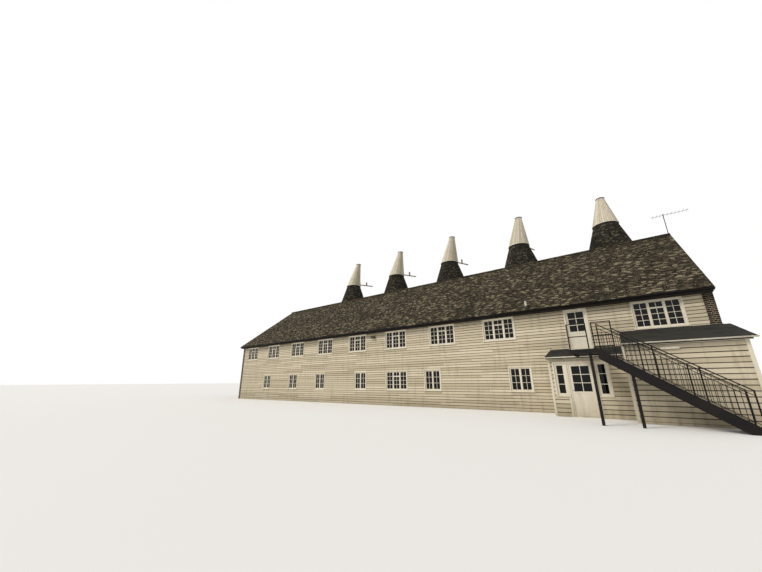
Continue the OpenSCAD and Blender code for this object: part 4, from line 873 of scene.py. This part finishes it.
addBar("leaf", spot, 0, leaf["glassL"], leaf["glassR"], leaf["foot"], leaf["foot"] + 0.13, -0.004, 0.014)
boardW = (leaf["glassR"] - leaf["glassL"]) / 5
for k in range(5):
    a = leaf["glassL"] + k * boardW
    addBar("leaf", spot, 0, a + 0.003, a + boardW - 0.003, leaf["foot"] + 0.13, leaf["glassLow"] - 0.11,
           -0.004, 0.004)

# Lead flashings where the lean-to roofs meet the wall
addBar("lead", wallFront, 0, porch["verge"], porch["right"], 2.825, 2.885, -0.01, 0.02)
addBar("lead", wallFront, 0, 13.70, 17.02, 3.465, 3.503, -0.01, 0.024)

# Stair: five grip ribs and a nosing on each tread, ribs on the landing, bolts at both ends of a tread
stair = {"headX": 13.08, "headZ": 2.53, "steps": 13, "going": 0.278, "farY": -9.5, "nearY": -8.6,
         "string": 0.05, "ribs": 5, "ribWide": 0.012, "landingX": 12.26, "landingRibs": 14}
stairRise = stair["headZ"] / stair["steps"]
for i in range(1, stair["steps"]):
    left = stair["headX"] + (i - 1) * stair["going"]
    top = stair["headZ"] - i * stairRise
    for k in range(stair["ribs"]):
        u = left + 0.03 + k * 0.052
        addBar("steel", (0, 0, 0), 0, u, u + stair["ribWide"], top - 0.002, top + 0.004, 8.62, 9.48)
    addBar("steel", (0, 0, 0), 0, left + 0.262, left + 0.279, top - 0.05, top + 0.003,
           -stair["nearY"], -stair["farY"])
for k in range(stair["landingRibs"]):
    u, top = stair["landingX"] + k * 0.058, stair["headZ"]
    addBar("steel", (0, 0, 0), 0, u, u + stair["ribWide"], top - 0.002, top + 0.004, 7.4, 9.47)

boltPoints, boltTurns = [], []
for i in range(1, stair["steps"]):
    for share in (0.25, 0.75):
        x = stair["headX"] + (i - 1 + share) * stair["going"]
        for y, out in ((stair["farY"] - stair["string"], -1), (stair["farY"], 1), (stair["nearY"], -1),
                       (stair["nearY"] + stair["string"], 1)):
            boltPoints.append((x, y + out * 0.002, stair["headZ"] - i * stairRise - 0.03))
            boltTurns.append((math.pi / 2, 0, 0))
growPiece(pointHolder("stairBolts", boltPoints, turn=boltTurns, tone=random.random(len(boltPoints))),
          fitBolts, {"Finish": blackSteel}, "house")

# Felt is laid in sheets a metre wide from the eaves up, each lapped over the one below
felt = {"sheet": 0.92, "lap": 0.08, "thick": 0.004}


def feltSheets(work):
    yHigh = house["frontY"]
    for x0, x1, yLow, zLow, zHigh in ((10.915, 13.775, -7.155, 2.452, 2.843),
                                      (13.775, 17.2, -8.255, 2.762, 3.483)):
        length = math.hypot(yHigh - yLow, zHigh - zLow)
        along = Vector((0, yHigh - yLow, zHigh - zLow)) / length
        up = Vector((0, -along.z, along.y))
        foot = 0.0
        while foot < length:
            head = min(foot + felt["sheet"] + felt["lap"], length)
            corners = []
            for d, lift in ((foot, 0.0), (foot, felt["thick"] * 2), (head, felt["thick"]), (head, 0.0)):
                corners.append(Vector((0, yLow, zLow)) + along * d + up * lift)
            rings = [[work.verts.new((x, c.y, c.z)) for c in corners] for x in (x0, x1)]
            work.faces.new(rings[0])
            work.faces.new(rings[1])
            for k in range(4):
                j = (k + 1) % 4
                work.faces.new((rings[0][k], rings[0][j], rings[1][j], rings[1][k]))
            foot += felt["sheet"]


meshPiece("feltSheets", feltSheets, [mineralFelt], "house")

# A tarred verge board carries the felt past the store's roof
addBar("lintels", (store["right"], 0, 0), math.pi / 2, store["eaves"], house["frontY"], 2.735, 2.761,
       0.09, 0.197, 0.72)

# The lamp under the eaves: ribs on its back and a plate against the boards
lamp = {"firstRib": -0.235, "ribs": 7, "ribStep": 0.045, "ribWide": 0.012, "foot": 4.378, "head": 4.498}
for k in range(lamp["ribs"]):
    u = lamp["firstRib"] + k * lamp["ribStep"]
    addBar("iron", wallFront, 0, u, u + lamp["ribWide"], lamp["foot"], lamp["head"], 0.02, 0.165)
addBar("iron", wallFront, 0, -0.14, -0.04, 4.33, 4.52, -0.005, 0.012)

finishOf = {"sashes": (whiteJoinery, "white_joinery"), "trims": (whiteJoinery, "white_joinery"),
            "sills": (stoneSill, "concrete"), "lintels": (tarredTimberAndShade, "dark_timber"),
            "leaf": (whiteJoinery, "white_joinery"), "lead": (leadSheet, "black_metal"),
            "steel": (blackSteel, "black_steel"), "iron": (blackIron, "black_metal")}
labelOf = {"sashes": "sashesAndGlazingBars", "trims": "doorAndWindowTrims", "sills": "windowSills",
           "lintels": "windowLintels", "leaf": "entranceDoorRails", "lead": "leadFlashings",
           "steel": "treadGrips", "iron": "lampRibs"}
for group, rows in barRows.items():
    material, slot = finishOf[group]
    holder = pointHolder(labelOf[group], [r[0] for r in rows], turn=[r[1] for r in rows],
                         size=[r[2] for r in rows], tone=[r[3] for r in rows])
    growPiece(holder, fitBars, {"Finish": material}, "door_leaf" if group == "leaf" else "house")


# Gutters
def gutterProfile(radius, wall, steps=10):  # a half-round trough, open side up, as one closed outline
    out = [(radius * math.cos(a), radius * math.sin(a)) for a in np.linspace(math.pi, 2 * math.pi, steps)]
    inn = [((radius - wall) * math.cos(a), (radius - wall) * math.sin(a))
           for a in np.linspace(2 * math.pi, math.pi, steps)]
    return out + inn


def sweepX(work, profile, x0, x1, y, z, materialIndex=0):
    ends = []
    for x in (x0, x1):
        ends.append([work.verts.new((x, y + p[0], z + p[1])) for p in profile])
    count = len(profile)
    for i in range(count):
        j = (i + 1) % count
        work.faces.new((ends[0][i], ends[0][j], ends[1][j], ends[1][i])).material_index = materialIndex
    half = count // 2
    for end in ends:  # the trough's end is a strip of quads between its outer and inner lines
        for i in range(half - 1):
            work.faces.new((end[i], end[i + 1], end[count - 2 - i],
                            end[count - 1 - i])).material_index = materialIndex


gutterRuns = {"main": (0.055, 4.883, -5.955), "rear": (0.055, 4.883, 5.955), "porch": (0.045, 2.44, -7.195),
              "store": (0.045, 2.75, -8.295)}


def buildGutter(work, x0, x1, radius, top, y):
    sweepX(work, gutterProfile(radius, 0.004), x0, x1, y, top)
    disc = [(radius * 0.99 * math.cos(a), radius * 0.99 * math.sin(a))
            for a in np.linspace(math.pi, 2 * math.pi, 10)]
    for x in (x0, x1 - 0.004):  # stop ends
        near = [work.verts.new((x, y + p[0], top + p[1])) for p in disc]
        far = [work.verts.new((x + 0.004, y + p[0], top + p[1])) for p in disc]
        work.faces.new(near)
        work.faces.new(far)
        for i in range(len(disc)):
            j = (i + 1) % len(disc)
            work.faces.new((near[i], near[j], far[j], far[i]))
    count = max(2, round((x1 - x0) / 0.95))
    for i in range(count):  # brackets and joint collars round the trough
        x = x0 + 0.15 + (x1 - x0 - 0.3) * i / (count - 1)
        wide = 0.05 if i % 4 == 2 else 0.022
        sweepX(work, gutterProfile(radius + 0.006, 0.006), x - wide, x + wide, y, top + 0.004)


def mainGutters(work):
    radius, top, y = gutterRuns["main"]
    buildGutter(work, -house["roofHalf"], house["roofHalf"], radius, top, y)
    radius, top, y = gutterRuns["rear"]
    half = math.sqrt(house["kilnR"] ** 2 - (kilnY - y + 0.06) ** 2) + 0.02
    edges = [-house["roofHalf"]] + [e for k in kilnX for e in (k - half, k + half)] + [house["roofHalf"]]
    for a, b in zip(edges[::2], edges[1::2]):
        if b - a > 0.2:
            buildGutter(work, a, b, radius, top, y)


def leanGutters(work):
    for key, x0, x1 in (("porch", 10.92, 13.77), ("store", 13.74, 17.22)):
        radius, top, y = gutterRuns[key]
        buildGutter(work, x0, x1, radius, top, y)


mainGutter = meshPiece("mainGutters", mainGutters, [blackGutter], "house", True)
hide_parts("gutters")
meshPiece("leanToGutters", leanGutters, [whiteGutter], "house", True)


# Verges, flashings round the kilns, pipe collar
def vergeStrips(work):  # the mortar bed under the verge tiles
    for side in (-1, 1):
        for end in (-1, 1):
            x0, x1 = sorted((end * (house["roofHalf"] - 0.04), end * (house["roofHalf"] + 0.004)))
            outline = []
            for y, lift in ((house["eavesY"], -0.035), (house["eavesY"], 0.004), (0.0, 0.004), (0.0, -0.035)):
                outline.append((side * y, house["ridge"] - y * house["slope"] + lift))
            rings = [[work.verts.new((x, y, z)) for y, z in outline] for x in (x0, x1)]
            work.faces.new(rings[0])
            work.faces.new(rings[1])
            for i in range(4):
                j = (i + 1) % 4
                work.faces.new((rings[0][i], rings[0][j], rings[1][j], rings[1][i]))


def kilnFlashings(work):  # dressed lead where each round wall comes through the rear slope
    for centre in kilnX:
        reach = math.acos(min(1.0, (kilnY - house["eavesY"]) / (house["kilnR"] + 0.01)))
        angles = np.linspace(-reach, reach, 28)
        rings = []
        for a in angles:
            x, y = centre + math.sin(a) * house["kilnR"], kilnY - math.cos(a) * house["kilnR"]
            z = house["ridge"] - y * house["slope"]
            out = Vector((math.sin(a), -math.cos(a), 0))
            base = Vector((x, y, z))
            corners = [base + out * proud + Vector((0, 0, up))
                       for proud, up in ((0.0, 0.15), (0.006, 0.15), (0.008, 0.02), (0.0, -0.01))]
            rings.append([work.verts.new(c) for c in corners])
        for near, far in zip(rings, rings[1:]):
            for i in range(4):
                j = (i + 1) % 4
                work.faces.new((near[i], near[j], far[j], far[i]))
        work.faces.new(rings[0])
        work.faces.new(rings[-1])


meshPiece("vergeMortar", vergeStrips, [limeMortar], "house")
meshPiece("kilnFlashings", kilnFlashings, [leadSheet], "house")


def turnedRing(work, centre, z, rings, steps=32):  # a turned shape from (radius, height) pairs
    loops = []
    for radius, height in rings:
        loops.append([work.verts.new((centre[0] + radius * math.cos(2 * math.pi * k / steps),
                                      centre[1] + radius * math.sin(2 * math.pi * k / steps), z + height))
                      for k in range(steps)])
    for near, far in zip(loops, loops[1:] + loops[:1]):
        for k in range(steps):
            j = (k + 1) % steps
            work.faces.new((near[k], near[j], far[j], far[k]))


batten = {"left": 14.871, "right": 15.335, "z": 2.52, "end": 0.026, "half": 0.046,
          "depths": ((-8.103, 1.0, 1.0), (-8.165, 1.0, 1.0), (-8.176, 0.985, 0.86))}


def battenCover(work):  # an upright-sided white cover with rounded ends over the strip light
    middle, z0 = (batten["left"] + batten["right"]) / 2, batten["z"]
    outline = []
    for x, start in ((batten["right"], -0.5), (batten["left"], 0.5)):
        outline += [(x + batten["end"] * math.cos(a), z0 + batten["half"] * math.sin(a))
                    for a in np.linspace(start * math.pi, (start + 1) * math.pi, 9)]
    rings = []
    for y, shorter, lower in batten["depths"]:
        rings.append([work.verts.new((middle + (x - middle) * shorter, y, z0 + (z - z0) * lower))
                      for x, z in outline])
    for near, far in zip(rings, rings[1:]):
        for k in range(len(outline)):
            j = (k + 1) % len(outline)
            work.faces.new((near[k], near[j], far[j], far[k]))
    work.faces.new(rings[0])
    work.faces.new(rings[-1])


meshPiece("battenCover", battenCover, [whiteGutter], "house")
ventPipe = {"centre": (10.14, -5.70), "joint": 5.44}


def pipeCollars(work):  # one round the pipe's joint, one where it leaves the roof
    centre = ventPipe["centre"]
    roof = house["ridge"] + centre[1] * house["slope"]
    turnedRing(work, centre, ventPipe["joint"], [(0.055, 0.0), (0.066, 0.005), (0.066, 0.055), (0.055, 0.06)])
    turnedRing(work, centre, roof, [(0.054, -0.05), (0.085, -0.03), (0.072, 0.10), (0.054, 0.11)])


meshPiece("ventCollars", pipeCollars, [leadSheet], "house", True)

# Cowls
cowl = {
    "foot": 13.895, "heights": [3.28, 3.28, 3.28, 3.28, 2.85], "headings": [30, 28, 24, 18, 5],
    "boards": 34, "mouthBoards": 7, "mouthFoot": 0.62, "mouthHead": 0.26, "lean": 0.65, "topR": 0.28,
    "footR": 0.94}
for number, (centre, height, heading) in enumerate(zip(kilnX, cowl["heights"], cowl["headings"]), 1):
    step = 2 * math.pi / cowl["boards"]
    points, sizes, tones = [], [], []
    for i in range(cowl["boards"]):
        angle = i * step
        fromMouth = min(i, cowl["boards"] - i)
        spans = [(0.0, 1.0)]
        if fromMouth <= cowl["mouthBoards"] // 2:  # the boards that the mouth cuts through
            spans = [(0.0, cowl["mouthFoot"] / height), (1 - cowl["mouthHead"] / height, 1.0)]
        tone = random.random()
        for low, high in spans:
            points.append((angle, 0, low))
            sizes.append((1, 1, high - low))
            tones.append(tone)
    growPiece(pointHolder(f"cowlBoards_{number}", points, size=sizes, tone=tones), rollCowl, {
        "Foot Radius": cowl["footR"] + 0.004, "Top Radius": cowl["topR"] + 0.004, "Lean": cowl["lean"],
        "Height": height, "Board Angle": step, "Board Thickness": 0.024, "Heading": -math.radians(heading),
        "Axis": (centre, kilnY, cowl["foot"]), "Finish": cowlPaint}, f"turning_cowl_{number}")

    def capAndRims(work):  # a turned cap on the middle of the cowl's leaning top
        lean = Vector((math.sin(math.radians(heading)), math.cos(math.radians(heading)))) * cowl["lean"]
        top = (centre + lean.x, kilnY + lean.y)
        turnedRing(work, top, cowl["foot"] + height, [(0.02, -0.02), (0.335, -0.012), (0.34, 0.04),
                                                      (0.25, 0.05), (0.02, 0.052)])

    meshPiece(f"cowlCap_{number}", capAndRims, [leadSheet], f"turning_cowl_{number}", False)

# Light, floor and camera
floorMesh = bpy.data.meshes.new("paleFloor")
reach = 1500.0
floorMesh.from_pydata([(-reach, -reach, 0), (reach, -reach, 0), (reach, reach, 0), (-reach, reach, 0)], [],
                      [(0, 1, 2, 3)])
paleFloor = bpy.data.objects.new("paleFloor", floorMesh)
scene.collection.objects.link(paleFloor)
paleSheet, tree, shader, place = startMaterial(
    "paleStudioSheet", Roughness=0.9, Base_Color=hexColor("#f3f2ef"))
floorMesh.materials.append(paleSheet)

world = bpy.data.worlds.new("studioWorld")
scene.world = world
world.use_nodes = True
tree = world.node_tree
tree.nodes.clear()
path = addNode(tree, "ShaderNodeLightPath")
seen = addNode(tree, "ShaderNodeMath", {
    0: path.outputs["Is Camera Ray"], 1: path.outputs["Is Glossy Ray"]}, operation="ADD")
clear = addNode(tree, "ShaderNodeMath", {
    0: seen.outputs[0], 1: path.outputs["Is Transmission Ray"]}, operation="ADD", use_clamp=True)
fill = addNode(tree, "ShaderNodeBackground", {"Color": hexColor("#f4f5f6"), "Strength": 0.55})
white = addNode(tree, "ShaderNodeBackground", {"Color": (1, 1, 1, 1), "Strength": 1.0})
both = addNode(tree, "ShaderNodeMixShader", {0: clear.outputs[0], 1: fill.outputs[0], 2: white.outputs[0]})
addNode(tree, "ShaderNodeOutputWorld", {"Surface": both.outputs[0]})

sun = bpy.data.objects.new("softSun", bpy.data.lights.new("softSun", "SUN"))
sun.data.energy = 2.0
sun.data.angle = math.radians(22)
sun.data.color = hexColor("#fffaf3")[:3]
sun.rotation_euler = Euler((math.radians(48), 0, math.radians(-38)))
scene.collection.objects.link(sun)

view = {"eye": (13.92, -23.1, 1.45), "yaw": 37.33, "pitch": 16.84, "roll": -0.4, "lens": 14.97}
camera = bpy.data.objects.new("camera", bpy.data.cameras.new("camera"))
scene.collection.objects.link(camera)
turning = (Matrix.Rotation(math.radians(view["yaw"]), 4, "Z")
           @ Matrix.Rotation(math.radians(90 + view["pitch"]), 4, "X")
           @ Matrix.Rotation(math.radians(view["roll"]), 4, "Z"))
camera.matrix_world = Matrix.Translation(view["eye"]) @ turning
camera.data.lens = view["lens"]
camera.data.sensor_width = 36
camera.data.clip_end = 5000
scene.camera = camera
scene.view_settings.view_transform = "Standard"
